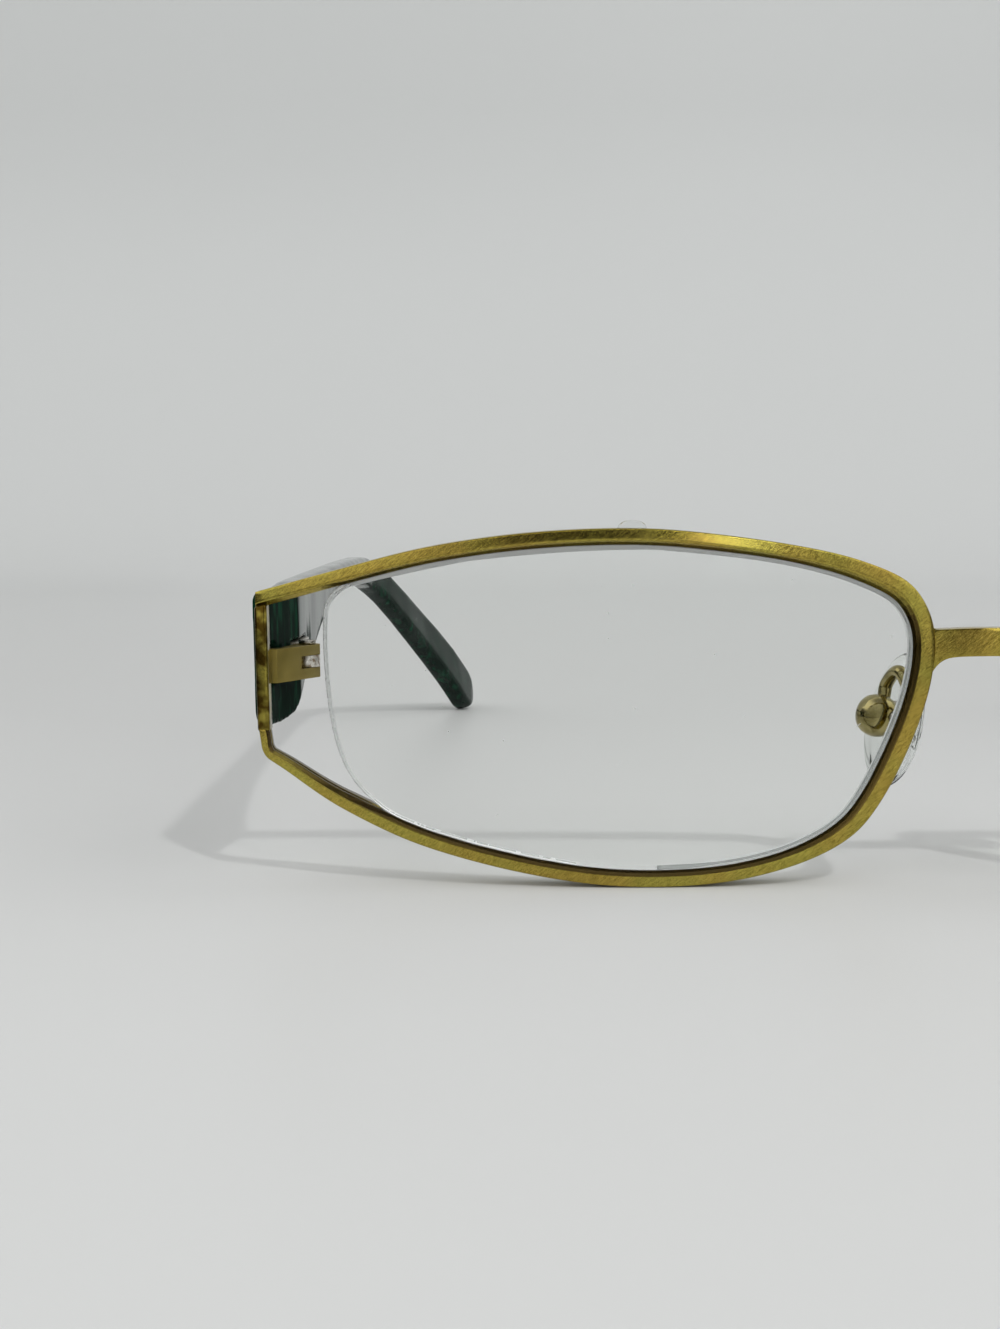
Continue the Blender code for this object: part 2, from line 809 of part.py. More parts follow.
def make_bridge():
    """Flat bar between the rims, filleted into them, arched a little up and forwards."""
    front = (RIM_DEPTH - BRIDGE_DEPTH) / 2
    bridge = slab("bridge", bridge_columns(), front, BRIDGE_DEPTH)
    end = abs(nose_side_x(BRIDGE_CENTRE_HEIGHT))

    def arch(p):
        crown = max(0.0, 1.0 - (p.x / end) ** 2)
        depth = p.y + sag(end, p.z) - BRIDGE_FORWARD * crown
        return Vector((p.x, depth, p.z + BRIDGE_RISE * crown))

    move_points(bridge, arch)
    return bridge


# Hinge


def pivot():
    """Middle of the right hinge's axis, before the whole is set on the table."""
    x = -FRONT_HALF_WIDTH + PIVOT_INSET
    y = end_bar_back(HINGE_CENTRE_HEIGHT) + PIVOT_BEHIND_END_BAR
    return Vector((x, y, HINGE_CENTRE_HEIGHT))


def foot_front():
    """Where the hinge block's foot starts, behind the highest point of its seat on the end bar."""
    return end_bar_back(HINGE_CENTRE_HEIGHT + HINGE_HEIGHT / 2) + BRAZE_GAP


def temple_inner_x():
    return -FRONT_HALF_WIDTH - TEMPLE_PROUD + TEMPLE_THICKNESS


def make_hinge_block():
    """Foot behind the end bar, an arm slanting back, and a barrel cut into two prongs."""
    axis = pivot()
    front = foot_front()
    outer_x = -FRONT_HALF_WIDTH + FOOT_SETBACK
    foot_end = Vector((outer_x + FOOT_WIDTH, front))
    reach = Vector((axis.x, axis.y)) - foot_end
    slant = math.atan2(reach.y, reach.x) + math.asin(BARREL_RADIUS / reach.length)
    first = slant - math.pi / 2
    arc = [
        (axis.x + BARREL_RADIUS * math.cos(a), axis.y + BARREL_RADIUS * math.sin(a))
        for a in np.linspace(first, first + BARREL_WRAP, BARREL_STEPS)
    ]
    outline = [(outer_x, front), tuple(foot_end)] + arc
    outline += [(foot_end.x, front + FOOT_ROOT), (outer_x, front + FOOT_THICKNESS)]
    block = plate("hinge_block", outline, HINGE_HEIGHT)
    block.data.transform(Matrix.Translation((0.0, 0.0, axis.z)))
    slot_radius = BARREL_RADIUS + 2 * KNUCKLE_CLEARANCE
    slot_height = KNUCKLE_HEIGHT + 2 * KNUCKLE_CLEARANCE
    boolean(block, cylinder("slot", slot_radius, slot_height, axis), "DIFFERENCE")
    mouth = box(
        "slot_mouth",
        (axis.x - SLOT_REACH, axis.y - 2 * slot_radius, axis.z - slot_height / 2),
        (axis.x + 2 * slot_radius, axis.y, axis.z + slot_height / 2),
    )
    boolean(block, mouth, "DIFFERENCE")
    hole = SCREW_RADIUS + SCREW_CLEARANCE
    boolean(block, cylinder("hole", hole, HINGE_HEIGHT * 2, axis), "DIFFERENCE")
    return block


def make_hinge_screw():
    """Slotted screw standing in the prongs and the knuckle, its head on the upper prong."""
    axis = pivot()
    top = axis.z + HINGE_HEIGHT / 2 + SCREW_CLEARANCE
    base = axis.z - HINGE_HEIGHT / 2
    screw = cylinder(
        "hinge_screw", SCREW_RADIUS, top - base, (axis.x, axis.y, (top + base) / 2)
    )
    head_middle = top + SCREW_HEAD_HEIGHT / 2
    head = cylinder(
        "head", SCREW_HEAD_RADIUS, SCREW_HEAD_HEIGHT, (axis.x, axis.y, head_middle)
    )
    boolean(screw, head, "UNION")
    half = SCREW_SLOT_WIDTH / 2
    slot = box(
        "screw_slot",
        (axis.x - SCREW_HEAD_RADIUS * 2, axis.y - half, head_middle),
        (axis.x + SCREW_HEAD_RADIUS * 2, axis.y + half, head_middle + SCREW_HEAD_HEIGHT),
    )
    boolean(screw, slot, "DIFFERENCE")
    return screw


def leaf_span():
    """Start and end of the leaf's plate along the temple, and its inner and outer side."""
    axis = pivot()
    start = axis.y + LEAF_START
    inner = temple_inner_x() + LEAF_PROUD
    return start, start + LEAF_LENGTH, inner, inner - LEAF_THICKNESS


def make_hinge_leaf():
    """Knuckle round the screw, a neck, and a plate set into the temple's inner side."""
    axis = pivot()
    start, end, inner, outer = leaf_span()
    half = HINGE_HEIGHT / 2
    leaf = box("hinge_leaf", (outer, start, axis.z - half), (inner, end, axis.z + half))
    knuckle_half = KNUCKLE_HEIGHT / 2
    knuckle = cylinder("knuckle", BARREL_RADIUS, KNUCKLE_HEIGHT, axis)
    neck = box(
        "neck",
        (inner - NECK_OVERLAP, axis.y, axis.z - knuckle_half),
        (axis.x + BARREL_RADIUS / 2, start + LEAF_THICKNESS, axis.z + knuckle_half),
    )
    boolean(knuckle, neck, "UNION")
    boolean(leaf, knuckle, "UNION")
    hole = SCREW_RADIUS + SCREW_CLEARANCE
    boolean(leaf, cylinder("hole", hole, HINGE_HEIGHT, axis), "DIFFERENCE")
    return leaf


# Temple


def rounded_section(thickness, height, corner):
    """Corners of a rounded rectangle, across and up, anticlockwise."""
    corner = min(corner, thickness * CORNER_SHARE, height * CORNER_SHARE)
    points = []
    for quarter, (side, level) in enumerate(((1, 1), (-1, 1), (-1, -1), (1, -1))):
        for step in range(CORNER_STEPS + 1):
            angle = math.pi / 2 * (quarter + step / CORNER_STEPS)
            points.append(
                (
                    side * (thickness / 2 - corner) + corner * math.cos(angle),
                    level * (height / 2 - corner) + corner * math.sin(angle),
                )
            )
    return points


def arm_back(share):
    """Distance behind the front at a share of the way from the hinge to the ear bend."""
    return TEMPLE_START + share * (EAR_BEND_START - TEMPLE_START)


def temple_path():
    """Rows of distance back, height, section height and inward turn, and each row's thickness."""
    arm = [(arm_back(share), height, tall, 0.0) for share, height, tall in ARM_SECTIONS]
    tip = [(EAR_BEND_START + behind, *section) for behind, *section in TIP_SECTIONS]
    rows = smooth_line(arm + tip, TEMPLE_STEPS)
    thickness = [TEMPLE_THICKNESS] * len(rows)
    direction = rows[-1] - rows[-2]
    direction = direction / np.linalg.norm(direction[[0, 1, 3]])
    ends = []
    for step in range(1, TIP_END_STEPS + 1):
        angle = TIP_END_TURN * step / TIP_END_STEPS
        row = rows[-1] + direction * TIP_END_LENGTH * math.sin(angle)
        row[2] = rows[-1][2] * math.cos(angle)
        ends.append(row)
        thickness.append(TEMPLE_THICKNESS * math.cos(angle) ** TIP_END_FULLNESS)
    return np.vstack([rows, ends]), thickness


def make_temple():
    """Acetate side arm: tall behind the hinge, slim to the ear, broad at the turned tip."""
    rows, thickness = temple_path()
    outer = -FRONT_HALF_WIDTH - TEMPLE_PROUD
    middle_x = outer + TEMPLE_THICKNESS / 2
    ahead = np.gradient(rows, axis=0)
    rings = []
    for row, step, thick in zip(rows, ahead, thickness):
        back, height, tall, turn = row
        forward = Vector((step[3], step[0], step[1])).normalized()
        up = Vector((0.0, -step[1], step[0])).normalized()
        across = up.cross(forward).normalized() * -1.0
        centre = Vector((middle_x + turn, back, height))
        rings.append(
            [
                centre + across * a + up * u
                for a, u in rounded_section(thick, tall, TEMPLE_CORNER)
            ]
        )
    temple = loft("temple", rings)
    lean_from(temple)
    settle_tip(temple)
    return cut_temple(temple)


def lean_from(temple):
    """Lean the front part outwards towards its top."""
    pivot_height = HINGE_CENTRE_HEIGHT

    def lean(p):
        share = max(0.0, 1.0 - p.y / TEMPLE_LEAN_END)
        return Vector((p.x - TEMPLE_LEAN * share * (p.z - pivot_height), p.y, p.z))

    move_points(temple, lean)


def settle_tip(temple):
    """Stretch the turned tip a little so that its lowest point just meets the table."""
    lowest = min(vertex.co.z for vertex in temple.data.vertices)
    ear_height = min(
        vertex.co.z for vertex in temple.data.vertices if vertex.co.y < EAR_BEND_START
    )

    def settle(p):
        share = 0.0
        if p.y > EAR_BEND_START:
            share = min(1.0, max(0.0, (ear_height - p.z) / (ear_height - lowest)))
        return Vector((p.x, p.y, p.z - lowest * share))

    move_points(temple, settle)


def cut_temple(temple):
    """Cut the front end, the slanted inner side, the hinge's seats and the wire's bore."""
    axis = pivot()
    low_z = ARM_SECTIONS[0][1] - ARM_SECTIONS[0][2] / 2
    high_z = ARM_SECTIONS[0][1] + ARM_SECTIONS[0][2] / 2
    low_y = end_bar_back(low_z) + TEMPLE_END_GAP
    high_y = end_bar_back(high_z) + TEMPLE_END_GAP
    tilt = Vector((0.0, -(high_z - low_z), high_y - low_y)).normalized()
    cut_away(temple, (0.0, low_y, low_z), tilt)
    outer = -FRONT_HALF_WIDTH - TEMPLE_PROUD
    start = Vector((outer + TEMPLE_END_THICKNESS, low_y, axis.z))
    end = Vector((temple_inner_x(), TEMPLE_FACET_END, axis.z))
    run = (end - start).normalized()
    facing = Vector((run.y, -run.x, TEMPLE_LEAN)).normalized()
    cut_away(temple, start, facing)
    half = HINGE_HEIGHT / 2 + NOTCH_GAP
    front = foot_front()
    foot = box(
        "foot_notch",
        (outer + FOOT_SKIN, front - CUT_MARGIN, axis.z - half),
        (axis.x, front + FOOT_ROOT + NOTCH_GAP, axis.z + half),
    )
    boolean(temple, foot, "DIFFERENCE")
    leaf_start, leaf_end, _, leaf_outer = leaf_span()
    seat = box(
        "leaf_seat",
        (leaf_outer - HINGE_SEAT_GAP, leaf_start - NOTCH_GAP, axis.z - half),
        (axis.x + CUT_MARGIN, leaf_end + NOTCH_GAP, axis.z + half),
    )
    boolean(temple, seat, "DIFFERENCE")
    bore = wire("bore", core_points(leaf_end), CORE_RADIUS + CORE_CLEARANCE)
    boolean(temple, bore, "DIFFERENCE")
    return temple


def core_points(start):
    """Route of the core wire inside the temple, from behind the hinge leaf to the ear bend."""
    outer = -FRONT_HALF_WIDTH - TEMPLE_PROUD
    route = [(outer + CORE_START_INSET, start, HINGE_CENTRE_HEIGHT)]
    route += [(outer + CORE_INSET, arm_back(share), height) for share, height in CORE_ROUTE]
    return smooth_line(route, CORE_STEPS)


def make_core_wire():
    """Stiffening wire from the back of the hinge leaf to the ear."""
    start = leaf_span()[1] + HINGE_SEAT_GAP
    points = core_points(start)
    last_step = points[-1] - points[-2]
    points[-1] -= last_step * CORE_CLEARANCE / np.linalg.norm(last_step)
    return wire("core_wire", points, CORE_RADIUS)


# Nose pad


def pad_frame():
    """Centre of the right pad and its three directions: along, across and away from the nose."""
    centre = Vector((-PAD_SIDE, PAD_BEHIND, PAD_CENTRE_HEIGHT))
    across = Vector((-math.sin(PAD_SPLAY), math.cos(PAD_SPLAY), 0.0))
    outward = Vector((-math.cos(PAD_SPLAY), -math.sin(PAD_SPLAY), 0.0))
    along = (Vector((0.0, 0.0, 1.0)) - outward * math.tan(PAD_LEAN)).normalized()
    outward = across.cross(along).normalized()
    if outward.x > 0.0:
        outward = -outward
    return centre, along, across, outward


def pad_matrix():
    """Places a shape drawn with X across, Y along and Z away from the nose."""
    centre, along, across, outward = pad_frame()
    turn = Matrix((across, along, outward)).transposed()
    if turn.determinant() < 0.0:
        turn = Matrix((-across, along, outward)).transposed()
    return Matrix.Translation(centre) @ turn.to_4x4()


def make_nose_pad():
    """Oval clear pad, domed on both sides, with a shallow seat for the insert's flange."""
    shape = bmesh.new()
    bmesh.ops.create_uvsphere(shape, u_segments=PAD_SIDES, v_segments=PAD_RINGS, radius=0.5)
    size = Matrix.Diagonal((PAD_WIDTH, PAD_LENGTH, PAD_THICKNESS, 1.0))
    bmesh.ops.transform(shape, matrix=size, verts=shape.verts)
    for vertex in shape.verts:
        flat = abs(vertex.co.z) * 2 / PAD_THICKNESS
        vertex.co.z = math.copysign(flat**PAD_FULLNESS * PAD_THICKNESS / 2, vertex.co.z)
        vertex.co.x *= 1.0 - PAD_TAPER * vertex.co.y / PAD_LENGTH
    pad = bmesh_object("nose_pad", shape)
    half = STEM_FLANGE_SIZE / 2 + PAD_GAP
    floor = PAD_THICKNESS / 2 - STEM_FLANGE_THICKNESS - PAD_GAP
    boolean(pad, box("seat", (-half, -half, floor), (half, half, CUT_MARGIN)), "DIFFERENCE")
    pad.data.transform(pad_matrix())
    return pad


def box_centre_out():
    """Distance of the pad screw's axis from the pad's middle, away from the nose."""
    return PAD_THICKNESS / 2 + BOX_STANDOFF + BOX_DEPTH / 2


def make_pad_insert():
    """Flange in the pad with a stem that the pad screw crosses."""
    half = STEM_FLANGE_SIZE / 2
    floor = PAD_THICKNESS / 2 - STEM_FLANGE_THICKNESS
    top = box_centre_out() + STEM_HEIGHT / 2
    insert = box("pad_insert", (-half, -half, floor), (half, half, floor + STEM_FLANGE_THICKNESS))
    stem = box(
        "stem",
        (-STEM_WIDTH / 2, -STEM_LENGTH / 2, floor),
        (STEM_WIDTH / 2, STEM_LENGTH / 2, top),
    )
    boolean(insert, stem, "UNION")
    hole = cylinder(
        "hole",
        PAD_SCREW_RADIUS + SCREW_CLEARANCE,
        BOX_SIZE,
        (0.0, 0.0, box_centre_out()),
        (1.0, 0.0, 0.0),
        PAD_SCREW_SIDES,
    )
    boolean(insert, hole, "DIFFERENCE")
    insert.data.transform(pad_matrix())
    return insert


def make_pad_box():
    """Rounded cup, open towards the pad, with a hole across it for the screw."""
    middle = box_centre_out()
    half = BOX_SIZE / 2
    cup = box(
        "pad_box",
        (-half, -half, middle - BOX_DEPTH / 2),
        (half, half, middle + BOX_DEPTH / 2),
    )
    bevel_edges(cup, BOX_ROUNDING, BOX_ROUNDING_STEPS)
    gap = BOX_SLOT_CLEARANCE
    swing = STEM_LENGTH / 2 + BOX_SWING_ROOM
    slot = box(
        "slot",
        (-STEM_WIDTH / 2 - gap, -swing, middle - BOX_DEPTH),
        (STEM_WIDTH / 2 + gap, swing, middle + STEM_HEIGHT / 2 + 2 * gap),
    )
    boolean(cup, slot, "DIFFERENCE")
    hole = cylinder(
        "hole",
        PAD_SCREW_RADIUS + SCREW_CLEARANCE,
        BOX_SIZE * 2,
        (0.0, 0.0, middle),
        (1.0, 0.0, 0.0),
        PAD_SCREW_SIDES,
    )
    boolean(cup, hole, "DIFFERENCE")
    cup.data.transform(pad_matrix())
    return cup


def make_pad_screw():
    """Screw across the pad box, its head at the front."""
    middle = box_centre_out()
    half = BOX_SIZE / 2
    front = -1.0 if pad_matrix().to_3x3().col[0].y > 0.0 else 1.0
    screw = cylinder(
        "pad_screw", PAD_SCREW_RADIUS, BOX_SIZE, (0.0, 0.0, middle), (1.0, 0.0, 0.0), PAD_SCREW_SIDES
    )
    head_x = front * (half + PAD_SCREW_HEAD_HEIGHT / 2 + SCREW_CLEARANCE)
    neck = cylinder(
        "neck",
        PAD_SCREW_RADIUS,
        PAD_SCREW_HEAD_HEIGHT,
        (front * half, 0.0, middle),
        (1.0, 0.0, 0.0),
        PAD_SCREW_SIDES,
    )
    boolean(screw, neck, "UNION")
    head = cylinder(
        "head",
        PAD_SCREW_HEAD_RADIUS,
        PAD_SCREW_HEAD_HEIGHT,
        (head_x, 0.0, middle),
        (1.0, 0.0, 0.0),
        PAD_SCREW_SIDES,
    )
    boolean(screw, head, "UNION")
    screw.data.transform(pad_matrix())
    return screw


def make_pad_arm():
    """Wire from the back of the rim, up and over, and down onto the top of the pad box."""
    start_x = nose_side_x(ARM_START_HEIGHT) - RIM_WIDTH / 2
    seat_sag = sag(start_x + ARM_WIRE_RADIUS, ARM_START_HEIGHT + ARM_WIRE_RADIUS)
    start_y = RIM_DEPTH + seat_sag + BRAZE_GAP
    off_centre = box_centre_out() - ARM_OFF_CENTRE
    box_top = pad_matrix() @ Vector((0.0, BOX_SIZE / 2 + BRAZE_GAP, off_centre))
    start = Vector((start_x, start_y, ARM_START_HEIGHT))
    crown = (start + box_top) / 2
    crown.z = ARM_CROWN_HEIGHT
    route = (
        start,
        start + Vector((0.0, ARM_STANDOFF, 0.0)),
        crown,
        box_top + pad_frame()[1] * ARM_STANDOFF,
        box_top,
    )
    return wire("pad_arm", smooth_line(route, ARM_STEPS), ARM_WIRE_RADIUS)


# Assembly

PIECES = (
    (make_rim, "gold_metal"),
    (make_end_bar, "gold_metal"),
    (make_lens, "clear_lens"),
    (make_lens_cord, "clear_nylon"),
    (make_rim_liner, "clear_nylon"),
    (make_liner_tab, "clear_nylon"),
    (make_hinge_block, "gold_metal"),
    (make_hinge_screw, "steel"),
    (make_hinge_leaf, "nickel_silver"),
    (make_temple, "green_acetate"),
    (make_core_wire, "nickel_silver"),
    (make_pad_arm, "gold_metal"),
    (make_pad_box, "pad_metal"),
    (make_pad_screw, "steel"),
    (make_pad_insert, "steel"),
    (make_nose_pad, "clear_silicone"),
)
HINGED = ("hinge_leaf", "temple", "core_wire")
ROCKING = ("nose_pad", "pad_insert")


def mirrored_copy(thing, name):
    mesh = thing.data.copy()
    mesh.transform(Matrix.Scale(-1.0, 4, (1.0, 0.0, 0.0)))
    mesh.flip_normals()
    return new_object(name, mesh)


def both_sides(make, surface):
    """The right piece and its mirror image on the left, as separate objects."""
    right = make()
    name = right.name
    left = mirrored_copy(right, name + "_left")
    right.name = name + "_right"
    for thing in (right, left):
        thing.data.materials.clear()
        thing.data.materials.append(surface)
        thing.data.shade_smooth()
        thing.data.set_sharp_from_angle(angle=SHARP_ANGLE)
    return right, left


def empty(name, place, collection):
    holder = bpy.data.objects.new(name, None)
    holder.location = place
    collection.objects.link(holder)
    return holder


def whole_box(things):
    corners = np.array([vertex.co for thing in things for vertex in thing.data.vertices])
    return corners.min(axis=0), corners.max(axis=0)


def assemble():
    clear_scene()
    surfaces = make_materials()
    glasses = bpy.data.collections.new("semi_rimless_eyeglasses")
    bpy.context.scene.collection.children.link(glasses)
    bridge = make_bridge()
    bridge.data.materials.append(surfaces["gold_metal"])
    things = [bridge]
    for make, surface in PIECES:
        things += both_sides(make, surfaces[surface])
    low, high = whole_box(things)
    shift = Vector((0.0, -(low[1] + high[1]) / 2, -low[2]))
    for thing in things:
        thing.data.transform(Matrix.Translation(shift))
        bpy.context.scene.collection.objects.unlink(thing)
        glasses.objects.link(thing)
    pad_axis = pad_matrix() @ Vector((0.0, 0.0, box_centre_out()))
    for side, sign in SIDES.items():
        for joint, place, names in (
            ("fold_" + side, pivot(), HINGED),
            ("pad_rock_" + side, pad_axis, ROCKING),
        ):
            spot = place + shift
            holder = empty(joint, (spot.x * -sign, spot.y, spot.z), glasses)
            for name in names:
                piece = bpy.data.objects[name + "_" + side]
                piece.parent = holder
                piece.matrix_parent_inverse = Matrix.Translation(holder.location).inverted()
            print(joint, [round(value, 6) for value in holder.location])


assemble()
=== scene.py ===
"""Semi-rimless eyeglasses as photographed: brushed gold front, clear lenses and dark green acetate.

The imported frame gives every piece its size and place. This script gives each piece its fine surface
and its finish, and sets the glasses on a pale sweep under soft light. Metres, +Z up, front at -Y.
"""

import json
import math

import bmesh
import bpy
import numpy as np
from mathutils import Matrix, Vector


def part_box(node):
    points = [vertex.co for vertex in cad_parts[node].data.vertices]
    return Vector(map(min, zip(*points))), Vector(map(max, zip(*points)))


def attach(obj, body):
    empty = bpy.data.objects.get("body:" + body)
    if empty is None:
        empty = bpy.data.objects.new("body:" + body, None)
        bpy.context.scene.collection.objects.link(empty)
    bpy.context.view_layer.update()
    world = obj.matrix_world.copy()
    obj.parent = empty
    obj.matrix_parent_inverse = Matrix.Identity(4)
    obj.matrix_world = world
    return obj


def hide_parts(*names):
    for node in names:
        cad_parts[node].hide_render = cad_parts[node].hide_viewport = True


MM = 0.001
SIDES = ("right", "left")

# Camera, as the photograph was taken: 1000 x 1329 pixels, pitched down a little
PHOTO_HEIGHT_PIXELS = 1329
FOCAL_PIXELS = 1659
HORIZON_ROW = 503
CAMERA_X = -46.045 * MM
CAMERA_AHEAD = 150.0 * MM
CAMERA_HEIGHT = 35.308 * MM
SENSOR_HEIGHT_MM = 36.0
CLIP_START = 0.001

# Pale sweep: a level floor that curves up into a wall
FLOOR_FRONT = -1.2
FLOOR_BACK = 0.46
SWEEP_RADIUS = 0.25
WALL_TOP = 1.5
FLOOR_HALF_WIDTH = 1.6
SWEEP_STEPS = 12

# Where the sweep's tone, which is painted light, runs from the near floor to the far one, and on to
# the wall's
SWEEP_NEAR_Y = -0.11
SWEEP_FAR_Y = 0.06
WALL_TONE_FROM_Y = 0.12
WALL_TONE_FULL_Y = 0.70

# Mirrored in the glasses, the sweep darkens this far to each side
SWEEP_DIMS_FROM = 0.10
SWEEP_DARK_FROM = 0.22

# Lamps: direction from the glasses, distance, width and height, watts
KEY_LAMP = ((0.40, -0.78, 1.0), 1.2, (0.05, 0.05), 3.0)
STRIP_LAMP = ((0.255, -1.0, 0.26), 1.1, (0.07, 0.20), 0.22)

# Light tent: its levels from the horizon up, its dim top and its dark flanks
TENT_BRIGHT_HEIGHT = 0.6
TENT_LEVELS = (0.77, 1.24)
TENT_TOP_HEIGHTS = (0.8, 0.98)
TENT_TOP_LEVEL = 0.25
TENT_MIDDLE_X = 0.08
FLANK_SLOPE = 0.8
FLANK_FADE = (0.60, 0.70)
FLANK_LEVEL = 0.15

# Dark cards in the tent, for the metal to mirror: direction, narrowing each way and level
DARK_CARD = ((0.0, -0.95, 0.32), (0.95, 0.5, 0.75), 0.03)
GREY_CARD = ((0.42, -0.88, 0.18), (2.2, 0.5, 1.0), 0.55)
CARD_FADE = (0.16, 0.34)

# Which way brush lines and wiping scratches slant, and how rare dust is on the lens
BRUSH_SLANT = math.radians(-38.0)
SCRATCH_SLANT = math.radians(-32.0)
DUST_RARITY = 0.84

# Lens sphere, the same as the frame's
BASE_CURVE_RADIUS = 130.0 * MM
LENS_CENTRE_X = 35.0 * MM
LENS_CENTRE_Z = 16.5 * MM
LENS_THICKNESS = 1.8 * MM
GROOVE_DEPTH = 0.28 * MM
NOSE_GROOVE_DEPTH = 0.50 * MM
NOSE_GROOVE_REACH = 32.0 * MM
NOSE_GROOVE_TOP = 30.0 * MM
NOSE_GROOVE_FADE = 6.0 * MM
LENS_SPOKES = 480
LENS_SMOOTHING = 12
LENS_SHARES = (0.985, 0.95, 0.88, 0.78, 0.66, 0.52, 0.38, 0.24, 0.10, 0.02)
GROUND_CLEAR = 0.12
# Where the lens edge is painted whiter under the top bar, as painted light
PAINTED_LIGHT_HEIGHT = (25.0 * MM, 29.0 * MM)
PAINTED_LIGHT_FREE_X = (54.0 * MM, 57.0 * MM)
FACING = 0.9
# Rim faces that get painted shade: how squarely they look at the lens, and how far they may hang
INNER_FACING = (0.35, 0.60)
INNER_HANGING = (-0.75, -0.35)

# Fine surfaces
MERGE_DISTANCE = 0.001 * MM
FLAT_ANGLE = math.radians(0.5)
SHARP_ANGLE = math.radians(34.0)
CREASE_ANGLE = math.radians(14.0)
PAIRING_ANGLE = math.radians(25.0)
LENS_SHARP = math.radians(30.0)
MOULDED_SHARP = math.radians(50.0)
TUMBLED_SHARP = math.radians(60.0)
WIRE_SHARP = math.radians(75.0)
RIM_EDGE = 0.12 * MM
END_BAR_EDGE = 0.40 * MM
END_BAR_STEPS = 5
END_BAR_SWELL = 0.13 * MM
UPRIGHT_RISE = 0.7
HINGE_EDGE = 0.16 * MM
SCREW_EDGE = 0.04 * MM
EDGE_STEPS = 2
LINER_SWELL = 0.20 * MM
# Heights where the liner is painted from grey to pale, as painted light
LINER_GREY_BELOW = 22.0 * MM
LINER_PALE_ABOVE = 28.0 * MM
CORD_CLOUDY_BELOW = 6.0 * MM
CORD_CLEAR_ABOVE = 9.0 * MM
WIRE_SWELL = 0.05 * MM
BEAD_SWELL = 0.06 * MM
PAD_ARM_SWELL = 0.15 * MM
BRAZED_REACH = 0.14 * MM
CUT_END_Y = -52.7 * MM
CUT_END_FADE = 0.4 * MM
TEMPLE_VOXEL = 0.20 * MM
TEMPLE_POLISH = 5
BOX_CUTS = 5
BOX_VOXEL = 0.06 * MM
BOX_POLISH = 12
BOX_ROUNDNESS = 0.85
BALL_FULLNESS = 1.12
CUP_MOUTH_FACING = 0.80
CUP_MOUTH_DEPTH = 0.9 * MM

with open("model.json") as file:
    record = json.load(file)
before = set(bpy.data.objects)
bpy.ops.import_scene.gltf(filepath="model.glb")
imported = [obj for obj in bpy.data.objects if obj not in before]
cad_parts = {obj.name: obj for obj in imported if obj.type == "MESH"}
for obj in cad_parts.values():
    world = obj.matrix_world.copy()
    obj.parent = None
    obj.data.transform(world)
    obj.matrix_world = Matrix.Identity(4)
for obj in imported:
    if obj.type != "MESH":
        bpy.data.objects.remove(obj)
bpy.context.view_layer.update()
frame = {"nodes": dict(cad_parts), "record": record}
BODY_OF = {
    node: body for body, nodes in frame["record"]["behaviour"]["bodies"].items() for node in nodes
}


# Colour and nodes


def linear(hex_colour):
    """An sRGB hex colour as linear red, green, blue and alpha."""
    channels = [int(hex_colour[i : i + 2], 16) / 255 for i in (1, 3, 5)]
    curve = [c / 12.92 if c <= 0.04045 else ((c + 0.055) / 1.055) ** 2.4 for c in channels]
    return (*curve, 1.0)


def per_metre(size_mm):
    """The scale of a pattern whose features are this many millimetres across."""
    return 1.0 / (size_mm * MM)


def node(tree, kind, values=None, links=None, stops=(), **settings):
    """Add one node with its settings, socket values, links and colour stops.

    A link names its socket, or only its node where that is the node's first output. A Mix node's
    sockets go by number: 0 is the factor, 2 and 3 are its numbers, and 6 and 7 its colours.
    """
    made = tree.nodes.new(kind)
    for name, value in settings.items():
        setattr(made, name, value)
    for name, value in (values or {}).items():
        made.inputs[name].default_value = value
    for name, source in (links or {}).items():
        socket = source.outputs[0] if isinstance(source, bpy.types.Node) else source
        tree.links.new(socket, made.inputs[name])
    for stop, (position, colour) in zip(made.color_ramp.elements if stops else (), stops):
        stop.position = position
        stop.color = linear(colour)
    return made


def new_material(name):
    """An empty material, its node tree and the Object coordinates to lay patterns on."""
    surface = bpy.data.materials.new(name)
    surface.use_nodes = True
    tree = surface.node_tree
    tree.nodes.clear()
    place = node(tree, "ShaderNodeTexCoord").outputs["Object"]
    return surface, tree, place


def show(tree, shader):
    """Make the shader the material's surface."""
    node(tree, "ShaderNodeOutputMaterial", links={"Surface": shader})


def show_clear(tree, shader, tint):
    """As show, but lamps shine through the clear piece, so its shadow is faint as in life."""
    path = node(tree, "ShaderNodeLightPath")
    opening = node(tree, "ShaderNodeBsdfTransparent", {"Color": linear(tint)})
    links = {"Fac": path.outputs["Is Shadow Ray"], 1: shader, 2: opening}
    show(tree, node(tree, "ShaderNodeMixShader", links=links))


# Metals


